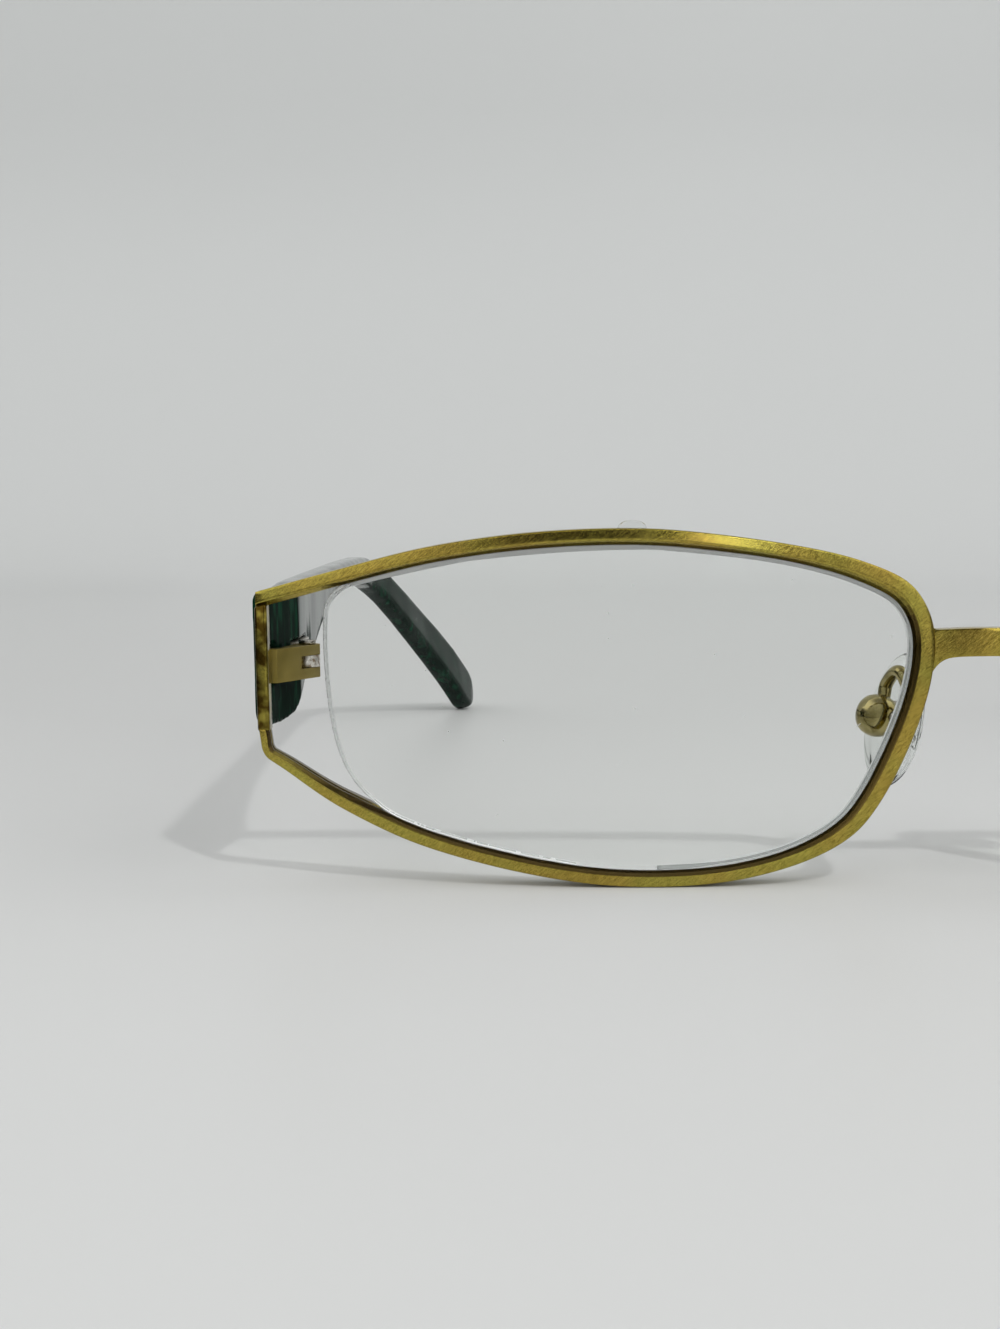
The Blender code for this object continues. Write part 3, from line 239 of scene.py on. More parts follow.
def brushed_gold():
    """Lacquered gold-toned nickel alloy, brushed across the bar by hand.

    The eye gets an olive satin with fine slanting lines and sparkling grains. The bevel towards
    the lens is painted darker, as painted shade. Real brush lines are too fine to show in the
    picture, so they are drawn coarser.
    """
    surface, tree, place = new_material("brushed_gold")
    slant = {"Rotation": (0.0, BRUSH_SLANT, 0.0), "Scale": (7.0, 1.0, 1.0)}
    along = node(tree, "ShaderNodeMapping", slant, {"Vector": place}, vector_type="TEXTURE")
    hairlines = node(
        tree, "ShaderNodeTexNoise", {"Scale": per_metre(0.11), "Detail": 3.0}, {"Vector": along}
    )
    grains = node(
        tree, "ShaderNodeTexNoise", {"Scale": per_metre(0.09), "Detail": 2.0}, {"Vector": place}
    )
    cloud = node(
        tree, "ShaderNodeTexNoise", {"Scale": per_metre(6.0), "Detail": 1.0}, {"Vector": place}
    )
    texture = node(tree, "ShaderNodeMix", {"Factor": 0.5}, {2: hairlines, 3: grains})
    fine = node(
        tree,
        "ShaderNodeValToRGB",
        links={"Fac": texture},
        stops=((0.36, "#7D722E"), (0.64, "#C2B656")),
    )
    warm = node(
        tree,
        "ShaderNodeValToRGB",
        links={"Fac": texture},
        stops=((0.36, "#806C2D"), (0.64, "#C4AC52")),
    )
    patches = node(
        tree,
        "ShaderNodeMapRange",
        {"From Min": 0.38, "From Max": 0.62},
        {"Value": cloud},
    )
    colour = node(tree, "ShaderNodeMix", links={0: patches, 6: fine, 7: warm}, data_type="RGBA")
    roughness = node(
        tree,
        "ShaderNodeMapRange",
        {"From Min": 0.36, "From Max": 0.64, "To Min": 0.15, "To Max": 0.27},
        {"Value": texture},
    )
    relief = node(
        tree, "ShaderNodeBump", {"Strength": 0.5, "Distance": 0.004 * MM}, {"Height": texture}
    )
    inner = node(tree, "ShaderNodeAttribute", attribute_name="inner").outputs["Fac"]
    # painted shade: the faces marked inner are darkened towards this brown
    painted_shade = {7: linear("#5A4A26")}
    links = {0: inner, 6: colour.outputs[2]}
    shaded_gold = node(tree, "ShaderNodeMix", painted_shade, links, data_type="RGBA")
    links = {"Base Color": shaded_gold.outputs[2], "Roughness": roughness, "Normal": relief}
    show(tree, node(tree, "ShaderNodeBsdfPrincipled", {"Metallic": 1.0}, links))
    return surface


def polished_gold():
    """The same lacquered alloy, buffed: clear reflections that waver, with faint rub marks.

    Real rub marks are too fine to show in the picture, so they are drawn coarser. Dark and light
    waves are also painted into the colour, as painted reflection.
    """
    surface, tree, place = new_material("polished_gold")
    wave = node(
        tree, "ShaderNodeTexNoise", {"Scale": per_metre(1.3), "Detail": 2.0}, {"Vector": place}
    )
    rub = node(
        tree, "ShaderNodeTexNoise", {"Scale": per_metre(0.20), "Detail": 2.0}, {"Vector": place}
    )
    # painted reflection: the colour wavers from dark brown to gold with the same waves
    colour = node(
        tree,
        "ShaderNodeValToRGB",
        links={"Fac": wave},
        stops=((0.38, "#4A3A12"), (0.62, "#9C9040")),
    )
    roughness = node(
        tree,
        "ShaderNodeMapRange",
        {"From Min": 0.3, "From Max": 0.7, "To Min": 0.10, "To Max": 0.24},
        {"Value": rub},
    )
    relief = node(
        tree, "ShaderNodeBump", {"Strength": 0.6, "Distance": 0.05 * MM}, {"Height": wave}
    )
    links = {"Base Color": colour, "Roughness": roughness, "Normal": relief}
    show(tree, node(tree, "ShaderNodeBsdfPrincipled", {"Metallic": 1.0}, links))
    return surface


def satin_gold():
    """The hinge block: milled, bead-blasted and lacquered, an even tan-olive satin.

    The tooth of the blasting is drawn a little coarser than life, so that it shows.
    """
    surface, tree, place = new_material("satin_gold")
    tooth = node(
        tree, "ShaderNodeTexNoise", {"Scale": per_metre(0.10), "Detail": 2.0}, {"Vector": place}
    )
    cloud = node(
        tree, "ShaderNodeTexNoise", {"Scale": per_metre(2.5), "Detail": 1.0}, {"Vector": place}
    )
    colour = node(
        tree,
        "ShaderNodeValToRGB",
        links={"Fac": cloud},
        stops=((0.35, "#8A7B40"), (0.65, "#978748")),
    )
    roughness = node(
        tree,
        "ShaderNodeMapRange",
        {"From Min": 0.3, "From Max": 0.7, "To Min": 0.38, "To Max": 0.50},
        {"Value": tooth},
    )
    relief = node(
        tree, "ShaderNodeBump", {"Strength": 0.5, "Distance": 0.004 * MM}, {"Height": tooth}
    )
    links = {"Base Color": colour, "Roughness": roughness, "Normal": relief}
    show(tree, node(tree, "ShaderNodeBsdfPrincipled", {"Metallic": 1.0}, links))
    return surface


def polished_pad_metal():
    """Cast pad box and its arm, tumbled and plated: a soft mirror with fine rub marks.

    Real rub marks are too fine to show in the picture, so they are drawn coarser.
    """
    surface, tree, place = new_material("polished_pad_metal")
    rub = node(
        tree, "ShaderNodeTexNoise", {"Scale": per_metre(0.25), "Detail": 3.0}, {"Vector": place}
    )
    cloud = node(
        tree, "ShaderNodeTexNoise", {"Scale": per_metre(1.6), "Detail": 1.0}, {"Vector": place}
    )
    colour = node(
        tree,
        "ShaderNodeValToRGB",
        links={"Fac": cloud},
        stops=((0.35, "#7E7448"), (0.65, "#A79C6C")),
    )
    roughness = node(
        tree,
        "ShaderNodeMapRange",
        {"From Min": 0.35, "From Max": 0.7, "To Min": 0.03, "To Max": 0.14},
        {"Value": rub},
    )
    relief = node(
        tree, "ShaderNodeBump", {"Strength": 0.4, "Distance": 0.003 * MM}, {"Height": rub}
    )
    links = {"Base Color": colour, "Roughness": roughness, "Normal": relief}
    show(tree, node(tree, "ShaderNodeBsdfPrincipled", {"Metallic": 1.0}, links))
    return surface


def nickel_silver():
    """Bare nickel silver, stamped and tumbled: bright grey with brown spots of tarnish."""
    surface, tree, place = new_material("nickel_silver")
    spots = node(
        tree, "ShaderNodeTexNoise", {"Scale": per_metre(0.35), "Detail": 3.0}, {"Vector": place}
    )
    colour = node(
        tree,
        "ShaderNodeValToRGB",
        links={"Fac": spots},
        stops=((0.50, "#D9D5CC"), (0.64, "#8C7A66")),
    )
    roughness = node(
        tree,
        "ShaderNodeMapRange",
        {"From Min": 0.35, "From Max": 0.7, "To Min": 0.26, "To Max": 0.50},
        {"Value": spots},
    )
    relief = node(
        tree, "ShaderNodeBump", {"Strength": 0.6, "Distance": 0.01 * MM}, {"Height": spots}
    )
    links = {"Base Color": colour, "Roughness": roughness, "Normal": relief}
    show(tree, node(tree, "ShaderNodeBsdfPrincipled", {"Metallic": 1.0}, links))
    return surface


def turned_steel():
    """Stainless steel screws, turned on a lathe: fine rings and a greyish shine.

    The rings are drawn coarser than a lathe leaves them, so that they show.
    """
    surface, tree, place = new_material("turned_steel")
    flat = {"Scale": (4.0, 4.0, 1.0)}
    layers = node(tree, "ShaderNodeMapping", flat, {"Vector": place}, vector_type="TEXTURE")
    rings = node(
        tree, "ShaderNodeTexNoise", {"Scale": per_metre(0.08), "Detail": 2.0}, {"Vector": layers}
    )
    colour = node(
        tree,
        "ShaderNodeValToRGB",
        links={"Fac": rings},
        stops=((0.35, "#7E7A72"), (0.65, "#BDB9B0")),
    )
    roughness = node(
        tree,
        "ShaderNodeMapRange",
        {"From Min": 0.3, "From Max": 0.7, "To Min": 0.20, "To Max": 0.36},
        {"Value": rings},
    )
    relief = node(
        tree, "ShaderNodeBump", {"Strength": 0.5, "Distance": 0.006 * MM}, {"Height": rings}
    )
    links = {"Base Color": colour, "Roughness": roughness, "Normal": relief}
    show(tree, node(tree, "ShaderNodeBsdfPrincipled", {"Metallic": 1.0}, links))
    return surface


# Clear pieces and acetate


def lens_resin():
    """Cast lens resin with a hard coat against reflections, its edge ground and frosted, and painted
    whiter under the top bar as painted light.

    The eye gets an almost unseen lens, some dust and hair scratches, and a pale edge under the
    top bar, which is painted light. The scratches are drawn wider than life, so that they show.
    """
    surface, tree, place = new_material("lens_resin")
    specks = node(tree, "ShaderNodeTexVoronoi", {"Scale": per_metre(2.4)}, {"Vector": place})
    speck = node(
        tree,
        "ShaderNodeMapRange",
        {"From Min": 0.02, "From Max": 0.05, "To Min": 0.3, "To Max": 0.0},
        {"Value": specks.outputs["Distance"]},
    )
    number = node(tree, "ShaderNodeSeparateColor", links={0: specks.outputs["Color"]})
    few = node(
        tree, "ShaderNodeMath", {1: DUST_RARITY}, {0: number}, operation="GREATER_THAN"
    )
    dust = node(tree, "ShaderNodeMath", links={0: speck, 1: few}, operation="MULTIPLY")
    slant = {"Rotation": (0.0, SCRATCH_SLANT, 0.0), "Scale": (12.0, 1.0, 1.0)}
    along = node(tree, "ShaderNodeMapping", slant, {"Vector": place}, vector_type="TEXTURE")
    lines = node(
        tree, "ShaderNodeTexNoise", {"Scale": per_metre(0.20), "Detail": 1.0}, {"Vector": along}
    )
    scratch = node(
        tree,
        "ShaderNodeMapRange",
        {"From Min": 0.80, "From Max": 0.82, "To Min": 0.0, "To Max": 0.1},
        {"Value": lines},
    )
    marks = node(tree, "ShaderNodeMath", links={0: dust, 1: scratch}, operation="MAXIMUM")
    # ground holds the edge's frost, and the painted light that makes it whiter under the top bar
    ground = node(tree, "ShaderNodeAttribute", attribute_name="ground").outputs["Fac"]
    worn = node(tree, "ShaderNodeMath", links={0: marks, 1: ground}, operation="MAXIMUM")
    clearness = node(
        tree, "ShaderNodeMapRange", {"To Min": 1.0, "To Max": 0.45}, {"Value": worn}
    )
    roughness = node(
        tree,
        "ShaderNodeMapRange",
        {"From Max": GROUND_CLEAR, "To Min": 0.0, "To Max": 0.35},
        {"Value": worn},
    )
    values = {"Base Color": linear("#FCFDFC"), "IOR": 1.50, "Specular Tint": linear("#2C302C")}
    links = {"Transmission Weight": clearness, "Roughness": roughness}
    show_clear(tree, node(tree, "ShaderNodeBsdfPrincipled", values, links), "#FAFBFA")
    return surface


def nylon_cord():
    """Drawn nylon monofilament: clear, but cloudier and whiter low down, where it lies along the
    lower bar.
    """
    surface, tree, place = new_material("nylon_cord")
    haze = node(
        tree, "ShaderNodeTexNoise", {"Scale": per_metre(0.8), "Detail": 2.0}, {"Vector": place}
    )
    roughness = node(
        tree,
        "ShaderNodeMapRange",
        {"From Min": 0.3, "From Max": 0.7, "To Min": 0.15, "To Max": 0.35},
        {"Value": haze},
    )
    height = node(tree, "ShaderNodeSeparateXYZ", links={0: place}).outputs["Z"]
    heights = {"From Min": CORD_CLOUDY_BELOW, "From Max": CORD_CLEAR_ABOVE}
    levels = {"To Min": 0.40, "To Max": 0.93}
    clearness = node(tree, "ShaderNodeMapRange", heights | levels, {"Value": height})
    relief = node(
        tree, "ShaderNodeBump", {"Strength": 0.3, "Distance": 0.01 * MM}, {"Height": haze}
    )
    values = {"Base Color": linear("#F4F5F5"), "IOR": 1.53}
    links = {"Roughness": roughness, "Transmission Weight": clearness, "Normal": relief}
    show_clear(tree, node(tree, "ShaderNodeBsdfPrincipled", values, links), "#ECEEEE")
    return surface


def clear_liner():
    """Extruded clear liner: cloudier and greyer than the cord, with lines along its length.

    Under the top bar it is painted paler and less clear than beside the nose, as painted light.
    """
    surface, tree, place = new_material("clear_liner")
    haze = node(
        tree, "ShaderNodeTexNoise", {"Scale": per_metre(0.7), "Detail": 2.0}, {"Vector": place}
    )
    roughness = node(
        tree,
        "ShaderNodeMapRange",
        {"From Min": 0.3, "From Max": 0.7, "To Min": 0.03, "To Max": 0.10},
        {"Value": haze},
    )
    relief = node(
        tree, "ShaderNodeBump", {"Strength": 0.3, "Distance": 0.01 * MM}, {"Height": haze}
    )
    height = node(tree, "ShaderNodeSeparateXYZ", links={0: place}).outputs["Z"]
    heights = {"From Min": LINER_GREY_BELOW, "From Max": LINER_PALE_ABOVE}
    # painted light: paler and less clear towards the top bar
    painted_light_up_top = node(tree, "ShaderNodeMapRange", heights, {"Value": height})
    stops = ((0.0, "#C4C7C6"), (1.0, "#F6F7F6"))
    colour = node(tree, "ShaderNodeValToRGB", links={"Fac": painted_light_up_top}, stops=stops)
    levels = {"To Min": 0.55, "To Max": 0.15}
    clearness = node(tree, "ShaderNodeMapRange", levels, {"Value": painted_light_up_top})
    values = {"IOR": 1.50}
    links = {
        "Base Color": colour,
        "Roughness": roughness,
        "Transmission Weight": clearness,
        "Normal": relief,
    }
    show_clear(tree, node(tree, "ShaderNodeBsdfPrincipled", values, links), "#E8EAEA")
    return surface


def clear_drop():
    """Hardened drop of clear glue: a lens of its own, bright inside a thin dark outline."""
    surface, tree, place = new_material("clear_drop")
    haze = node(
        tree, "ShaderNodeTexNoise", {"Scale": per_metre(0.8), "Detail": 2.0}, {"Vector": place}
    )
    roughness = node(
        tree,
        "ShaderNodeMapRange",
        {"From Min": 0.3, "From Max": 0.7, "To Min": 0.01, "To Max": 0.05},
        {"Value": haze},
    )
    values = {"Base Color": linear("#FAFBFA"), "IOR": 1.48, "Transmission Weight": 1.0}
    shader = node(tree, "ShaderNodeBsdfPrincipled", values, {"Roughness": roughness})
    show_clear(tree, shader, "#F0F2F0")
    return surface


def clear_silicone():
    """Cast clear silicone: a soft skin with a slight haze, nearly unseen but for its edges."""
    surface, tree, place = new_material("clear_silicone")
    haze = node(
        tree, "ShaderNodeTexNoise", {"Scale": per_metre(2.0), "Detail": 2.0}, {"Vector": place}
    )
    roughness = node(
        tree,
        "ShaderNodeMapRange",
        {"From Min": 0.3, "From Max": 0.7, "To Min": 0.02, "To Max": 0.08},
        {"Value": haze},
    )
    relief = node(
        tree, "ShaderNodeBump", {"Strength": 0.3, "Distance": 0.03 * MM}, {"Height": haze}
    )
    values = {"Base Color": linear("#F6F8F6"), "IOR": 1.41, "Transmission Weight": 0.98}
    links = {"Roughness": roughness, "Normal": relief}
    show_clear(tree, node(tree, "ShaderNodeBsdfPrincipled", values, links), "#F0F2F0")
    return surface


def green_acetate():
    """Cellulose acetate in a very dark green, cut from sheet and tumble polished.

    The eye gets a deep gloss that wavers along the arm, over streaks of a livelier green. The
    slanting cut by the hinge is left dull.
    """
    surface, tree, place = new_material("green_acetate")
    upright = {"Scale": (1.0, 1.0, 5.0)}
    sheet = node(tree, "ShaderNodeMapping", upright, {"Vector": place}, vector_type="TEXTURE")
    streaks = node(
        tree, "ShaderNodeTexNoise", {"Scale": per_metre(0.9), "Detail": 3.0}, {"Vector": sheet}
    )
    waves = node(
        tree, "ShaderNodeTexNoise", {"Scale": per_metre(5.0), "Detail": 0.0}, {"Vector": sheet}
    )
    colour = node(
        tree,
        "ShaderNodeValToRGB",
        links={"Fac": streaks},
        stops=((0.52, "#081B13"), (0.80, "#12452F")),
    )
    roughness = node(
        tree,
        "ShaderNodeMapRange",
        {"From Min": 0.3, "From Max": 0.7, "To Min": 0.04, "To Max": 0.09},
        {"Value": streaks},
    )
    relief = node(
        tree, "ShaderNodeBump", {"Strength": 0.5, "Distance": 0.25 * MM}, {"Height": waves}
    )
    polish = node(
        tree,
        "ShaderNodeMapRange",
        {"From Min": 0.44, "From Max": 0.56, "To Min": 0.14, "To Max": 0.28},
        {"Value": waves},
    )
    length = node(tree, "ShaderNodeSeparateXYZ", links={0: place}).outputs["Y"]
    behind_cut = node(
        tree,
        "ShaderNodeMapRange",
        {"From Min": CUT_END_Y, "From Max": CUT_END_Y + CUT_END_FADE, "To Min": 0.01},
        {"Value": length},
    )
    gloss = node(
        tree, "ShaderNodeMath", links={0: polish, 1: behind_cut}, operation="MULTIPLY"
    )
    # The plain gloss beside the linked one stands in wherever the link is dropped
    values = {"IOR": 1.49, "Specular IOR Level": 0.25}
    links = {
        "Base Color": colour,
        "Roughness": roughness,
        "Specular IOR Level": gloss,
        "Normal": relief,
    }
    show(tree, node(tree, "ShaderNodeBsdfPrincipled", values, links))
    return surface


def pale_card():
    """Coated card for the sweep: pale grey with a little sheen, painted lighter near the glasses than
    far off and lighter again up the wall, as painted light.

    Mirrored in the glasses, the floor goes dark a little way off to each side.
    """
    surface, tree, place = new_material("pale_card")
    spot = node(tree, "ShaderNodeSeparateXYZ", links={0: place})
    distance = node(
        tree,
        "ShaderNodeMapRange",
        {"From Min": SWEEP_NEAR_Y, "From Max": SWEEP_FAR_Y},
        {"Value": spot.outputs["Y"]},
    )
    # painted light: the floor is painted lighter near the glasses than far off, and the wall lighter
    # still
    floor = node(
        tree,
        "ShaderNodeValToRGB",
        links={"Fac": distance},
        stops=((0.0, "#D9DAD9"), (1.0, "#CFD0CF")),
    )
    rise = node(
        tree,
        "ShaderNodeMapRange",
        {"From Min": WALL_TONE_FROM_Y, "From Max": WALL_TONE_FULL_Y},
        {"Value": spot.outputs["Y"]},
    )
    wall = {7: linear("#DADCDB")}
    card = node(tree, "ShaderNodeMix", wall, {0: rise, 6: floor}, data_type="RGBA")
    aside = node(tree, "ShaderNodeMath", links={0: spot.outputs["X"]}, operation="ABSOLUTE")
    beyond = node(
        tree,
        "ShaderNodeMapRange",
        {"From Min": SWEEP_DIMS_FROM, "From Max": SWEEP_DARK_FROM},
        {"Value": aside},
    )
    off_sweep = node(tree, "ShaderNodeMath", links={0: beyond, 1: rise}, operation="SUBTRACT")
    mirrored = node(tree, "ShaderNodeLightPath").outputs["Is Glossy Ray"]
    links = {0: off_sweep, 1: mirrored}
    unlit = node(tree, "ShaderNodeMath", links=links, operation="MULTIPLY", use_clamp=True)
    dark = {7: linear("#1B1D1C")}
    links = {0: unlit, 6: card.outputs[2]}
    colour = node(tree, "ShaderNodeMix", dark, links, data_type="RGBA")
    values = {"Roughness": 0.42, "Specular IOR Level": 0.3}
    links = {"Base Color": colour.outputs[2]}
    show(tree, node(tree, "ShaderNodeBsdfPrincipled", values, links))
    return surface


# Stage


def make_sweep():
    """Floor, curve and wall in one sheet."""
    profile = [(FLOOR_FRONT, 0.0)]
    for step in range(SWEEP_STEPS + 1):
        angle = math.pi / 2 * step / SWEEP_STEPS
        profile.append(
            (
                FLOOR_BACK + SWEEP_RADIUS * math.sin(angle),
                SWEEP_RADIUS * (1.0 - math.cos(angle)),
            )
        )
    profile.append((FLOOR_BACK + SWEEP_RADIUS, WALL_TOP))
    shape = bmesh.new()
    edge = [shape.verts.new((-FLOOR_HALF_WIDTH, y, z)) for y, z in profile]
    edges = [shape.edges.new(pair) for pair in zip(edge, edge[1:])]
    grown = bmesh.ops.extrude_edge_only(shape, edges=edges)
    moved = [item for item in grown["geom"] if isinstance(item, bmesh.types.BMVert)]
    bmesh.ops.translate(shape, verts=moved, vec=(2 * FLOOR_HALF_WIDTH, 0.0, 0.0))
    bmesh.ops.recalc_face_normals(shape, faces=shape.faces)
    if shape.faces[:][0].normal.z < 0.0:
        bmesh.ops.reverse_faces(shape, faces=shape.faces)
    mesh = bpy.data.meshes.new("sweep")
    shape.to_mesh(mesh)
    shape.free()
    mesh.shade_smooth()
    sweep = bpy.data.objects.new("sweep", mesh)
    bpy.context.scene.collection.objects.link(sweep)
    mesh.materials.append(pale_card())


def make_camera():
    camera = bpy.data.cameras.new("photo_camera")
    camera.sensor_fit = "VERTICAL"
    camera.sensor_height = SENSOR_HEIGHT_MM
    camera.lens = FOCAL_PIXELS / PHOTO_HEIGHT_PIXELS * SENSOR_HEIGHT_MM
    camera.clip_start = CLIP_START
    holder = bpy.data.objects.new("photo_camera", camera)
    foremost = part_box("rim_right")[0].y
    pitch = math.atan((PHOTO_HEIGHT_PIXELS / 2 - HORIZON_ROW) / FOCAL_PIXELS)
    holder.location = (CAMERA_X, foremost - CAMERA_AHEAD, CAMERA_HEIGHT)
    holder.rotation_euler = (math.pi / 2 - pitch, 0.0, 0.0)
    bpy.context.scene.collection.objects.link(holder)
    bpy.context.scene.camera = holder


def area_lamp(name, direction, distance, size, watts):
    """A soft lamp that far from the glasses, facing them."""
    lamp = bpy.data.lights.new(name, "AREA")
    lamp.shape = "RECTANGLE"
    lamp.size, lamp.size_y = size
    lamp.energy = watts
    holder = bpy.data.objects.new(name, lamp)
    away = Vector(direction).normalized()
    holder.location = away * distance
    holder.rotation_euler = away.to_track_quat("Z", "Y").to_euler()
    bpy.context.scene.collection.objects.link(holder)


def make_lights():
    """A high key lamp ahead and to the right, and a narrow one that lights the brushed bars."""
    area_lamp("key", *KEY_LAMP)
    area_lamp("strip", *STRIP_LAMP)


def tent_card(tree, direction, card):
    """The tent's level where a card with soft edges hangs in that direction."""
    centre, shape, level = card
    beside = node(
        tree, "ShaderNodeVectorMath", {1: centre}, {0: direction}, operation="SUBTRACT"
    )
    spread = node(tree, "ShaderNodeVectorMath", {1: shape}, {0: beside}, operation="MULTIPLY")
    distance = node(tree, "ShaderNodeVectorMath", links={0: spread}, operation="LENGTH")
    core, faded = CARD_FADE
    values = {"From Min": core, "From Max": faded, "To Min": level, "To Max": 1.0}
    return node(
        tree, "ShaderNodeMapRange", values, {"Value": distance.outputs["Value"]}
    )


def make_world():
    """A light tent: brightest half way up, dim at its top and low at its sides.

    Seen straight on or through a clear piece, it is as plain and pale as the wall.
    """
    world = bpy.data.worlds.new("light_tent")
    bpy.context.scene.world = world
    world.use_nodes = True
    tree = world.node_tree
    tree.nodes.clear()
    direction = node(tree, "ShaderNodeTexCoord").outputs["Generated"]
    up = node(tree, "ShaderNodeSeparateXYZ", links={0: direction})
    low, high = TENT_LEVELS
    brightness = node(
        tree,
        "ShaderNodeMapRange",
        {"From Max": TENT_BRIGHT_HEIGHT, "To Min": low, "To Max": high},
        {"Value": up.outputs["Z"]},
    )
    begin, end = TENT_TOP_HEIGHTS
    top = node(
        tree,
        "ShaderNodeMapRange",
        {"From Min": begin, "From Max": end, "To Min": 1.0, "To Max": TENT_TOP_LEVEL},
        {"Value": up.outputs["Z"]},
    )
    shifted = node(
        tree, "ShaderNodeMath", {1: -TENT_MIDDLE_X}, {0: up.outputs["X"]}, operation="ADD"
    )
    aside = node(tree, "ShaderNodeMath", links={0: shifted}, operation="ABSOLUTE")
    low_aside = node(
        tree,
        "ShaderNodeMath",
        {1: -FLANK_SLOPE},
        {0: up.outputs["Z"], 2: aside},
        operation="MULTIPLY_ADD",
    )
    begin, end = FLANK_FADE
    flanks = node(
        tree,
        "ShaderNodeMapRange",
        {"From Min": begin, "From Max": end, "To Min": 1.0, "To Max": FLANK_LEVEL},
        {"Value": low_aside},
    )
    dark_card = tent_card(tree, direction, DARK_CARD)
    grey_card = tent_card(tree, direction, GREY_CARD)
    for shade in (top, flanks, dark_card, grey_card):
        links = {0: brightness, 1: shade}
        brightness = node(tree, "ShaderNodeMath", links=links, operation="MULTIPLY")
    values = {"Color": linear("#FFFFFF")}
    tent = node(tree, "ShaderNodeBackground", values, {"Strength": brightness})
    plain = node(tree, "ShaderNodeBackground", {"Color": linear("#C8CAC9")})
    path = node(tree, "ShaderNodeLightPath")
    links = {0: path.outputs["Is Camera Ray"], 1: path.outputs["Is Transmission Ray"]}
    seen = node(tree, "ShaderNodeMath", links=links, operation="MAXIMUM")
    background = node(tree, "ShaderNodeMixShader", links={"Fac": seen, 1: tent, 2: plain})
    node(tree, "ShaderNodeOutputWorld", links={"Surface": background})


# Fine surfaces


def merged_copy(name):
    """The mesh of a frame node with its loose triangles merged."""
    shape = bmesh.new()
    shape.from_mesh(frame["nodes"][name].data)
    bmesh.ops.remove_doubles(shape, verts=shape.verts, dist=MERGE_DISTANCE)
    return shape


def join_flat(shape):
    """Join the triangles of each flat face, and then pair what is left into quads."""
    bmesh.ops.dissolve_limit(
        shape, angle_limit=FLAT_ANGLE, verts=shape.verts, edges=shape.edges
    )
    bmesh.ops.join_triangles(
        shape,
        faces=[face for face in shape.faces if len(face.verts) == 3],
        angle_face_threshold=PAIRING_ANGLE,
        angle_shape_threshold=math.pi,
    )


def rise_of(edge):
    """How upright an edge runs, from 0 to 1."""
    run = edge.verts[1].co - edge.verts[0].co
    return abs(run.normalized().z)


def soften_edges(shape, width, steps=EDGE_STEPS, least_rise=0.0):
    """A small round on every sharp edge that runs at least so upright."""
    sharp = [
        edge
        for edge in shape.edges
        if edge.calc_face_angle(0.0) > SHARP_ANGLE and rise_of(edge) >= least_rise
    ]
    bmesh.ops.bevel(
        shape,
        geom=sharp,
        offset=width,
        segments=steps,
        profile=0.5,
        affect="EDGES",
        material=-1,
        clamp_overlap=True,
    )


def crease_edges(shape, angle):
    """Keep the lines of the section crisp while the bar's length is smoothed."""
    crease = shape.edges.layers.float.new("crease_edge")
    for edge in shape.edges:
        if edge.calc_face_angle(0.0) > angle:
            edge[crease] = 1.0


def swell(shape, distance):
    """Grow a tube, which smoothing would make thinner."""
    shape.normal_update()
    grown = [vert.co + vert.normal * distance for vert in shape.verts]
    for vert, spot in zip(shape.verts, grown):
        vert.co = spot


def dressed(name, shape, surface, levels=0, sharp=SHARP_ANGLE):
    """Make the object for the finished mesh, which rides where its node does and replaces it."""
    mesh = bpy.data.meshes.new(name + "_surface")
    shape.to_mesh(mesh)
    shape.free()
    mesh.shade_smooth()
    mesh.set_sharp_from_angle(angle=sharp)
    piece = bpy.data.objects.new(name + "_surface", mesh)
    bpy.context.scene.collection.objects.link(piece)
    mesh.materials.append(surface)
    if levels:
        smoothing = piece.modifiers.new("smooth", "SUBSURF")
        smoothing.levels = levels
        smoothing.render_levels = levels
    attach(piece, BODY_OF[name])
    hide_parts(name)


def brazed(shape, axis):
    """Carry both ends along the axis into the neighbours, as the brazing metal does."""
    spots = [vert.co[axis] for vert in shape.verts]
    middle = (min(spots) + max(spots)) / 2
    stretch = 1.0 + 2 * BRAZED_REACH / (max(spots) - min(spots))
    for vert in shape.verts:
        vert.co[axis] = middle + (vert.co[axis] - middle) * stretch


def edged_piece(name, surface, width):
    """A hard piece whose sharp edges are rounded a little."""
    shape = merged_copy(name)
    join_flat(shape)
    soften_edges(shape, width)
    dressed(name, shape, surface)


def end_bar_piece(name, surface):
    """The upright bar, polished nearly half round."""
    shape = merged_copy(name)
    join_flat(shape)
    soften_edges(shape, END_BAR_EDGE, END_BAR_STEPS, least_rise=UPRIGHT_RISE)
    swell(shape, END_BAR_SWELL)
    brazed(shape, 2)
    dressed(name, shape, surface)


def ramp(value, low, high):
    """From 0 at the low value to 1 at the high one."""
    return min(max((value - low) / (high - low), 0.0), 1.0)


def mark_inner(shape):
    """Mark the faces of a rim that look at the lens, fading to the underside of the top bar; these
    faces get painted shade.
    """
    inner = shape.faces.layers.float.new("inner")
    for face in shape.faces:
        middle = face.calc_center_median()
        across = math.copysign(LENS_CENTRE_X, middle.x) - middle.x
        inwards = Vector((across, 0.0, LENS_CENTRE_Z - middle.z)).normalized()
        looks_in = ramp(face.normal.dot(inwards), *INNER_FACING)
        face[inner] = looks_in * ramp(face.normal.z, *INNER_HANGING)


def bar_piece(name, surface, width, brazed_axis=None):
    """A bent bar: its edges rounded, its length smoothed."""
    shape = merged_copy(name)
    join_flat(shape)
    if brazed_axis is not None:
        brazed(shape, brazed_axis)
    soften_edges(shape, width)
    crease_edges(shape, CREASE_ANGLE)
    # marks the faces that get painted shade
    mark_inner(shape)
    dressed(name, shape, surface, levels=2)


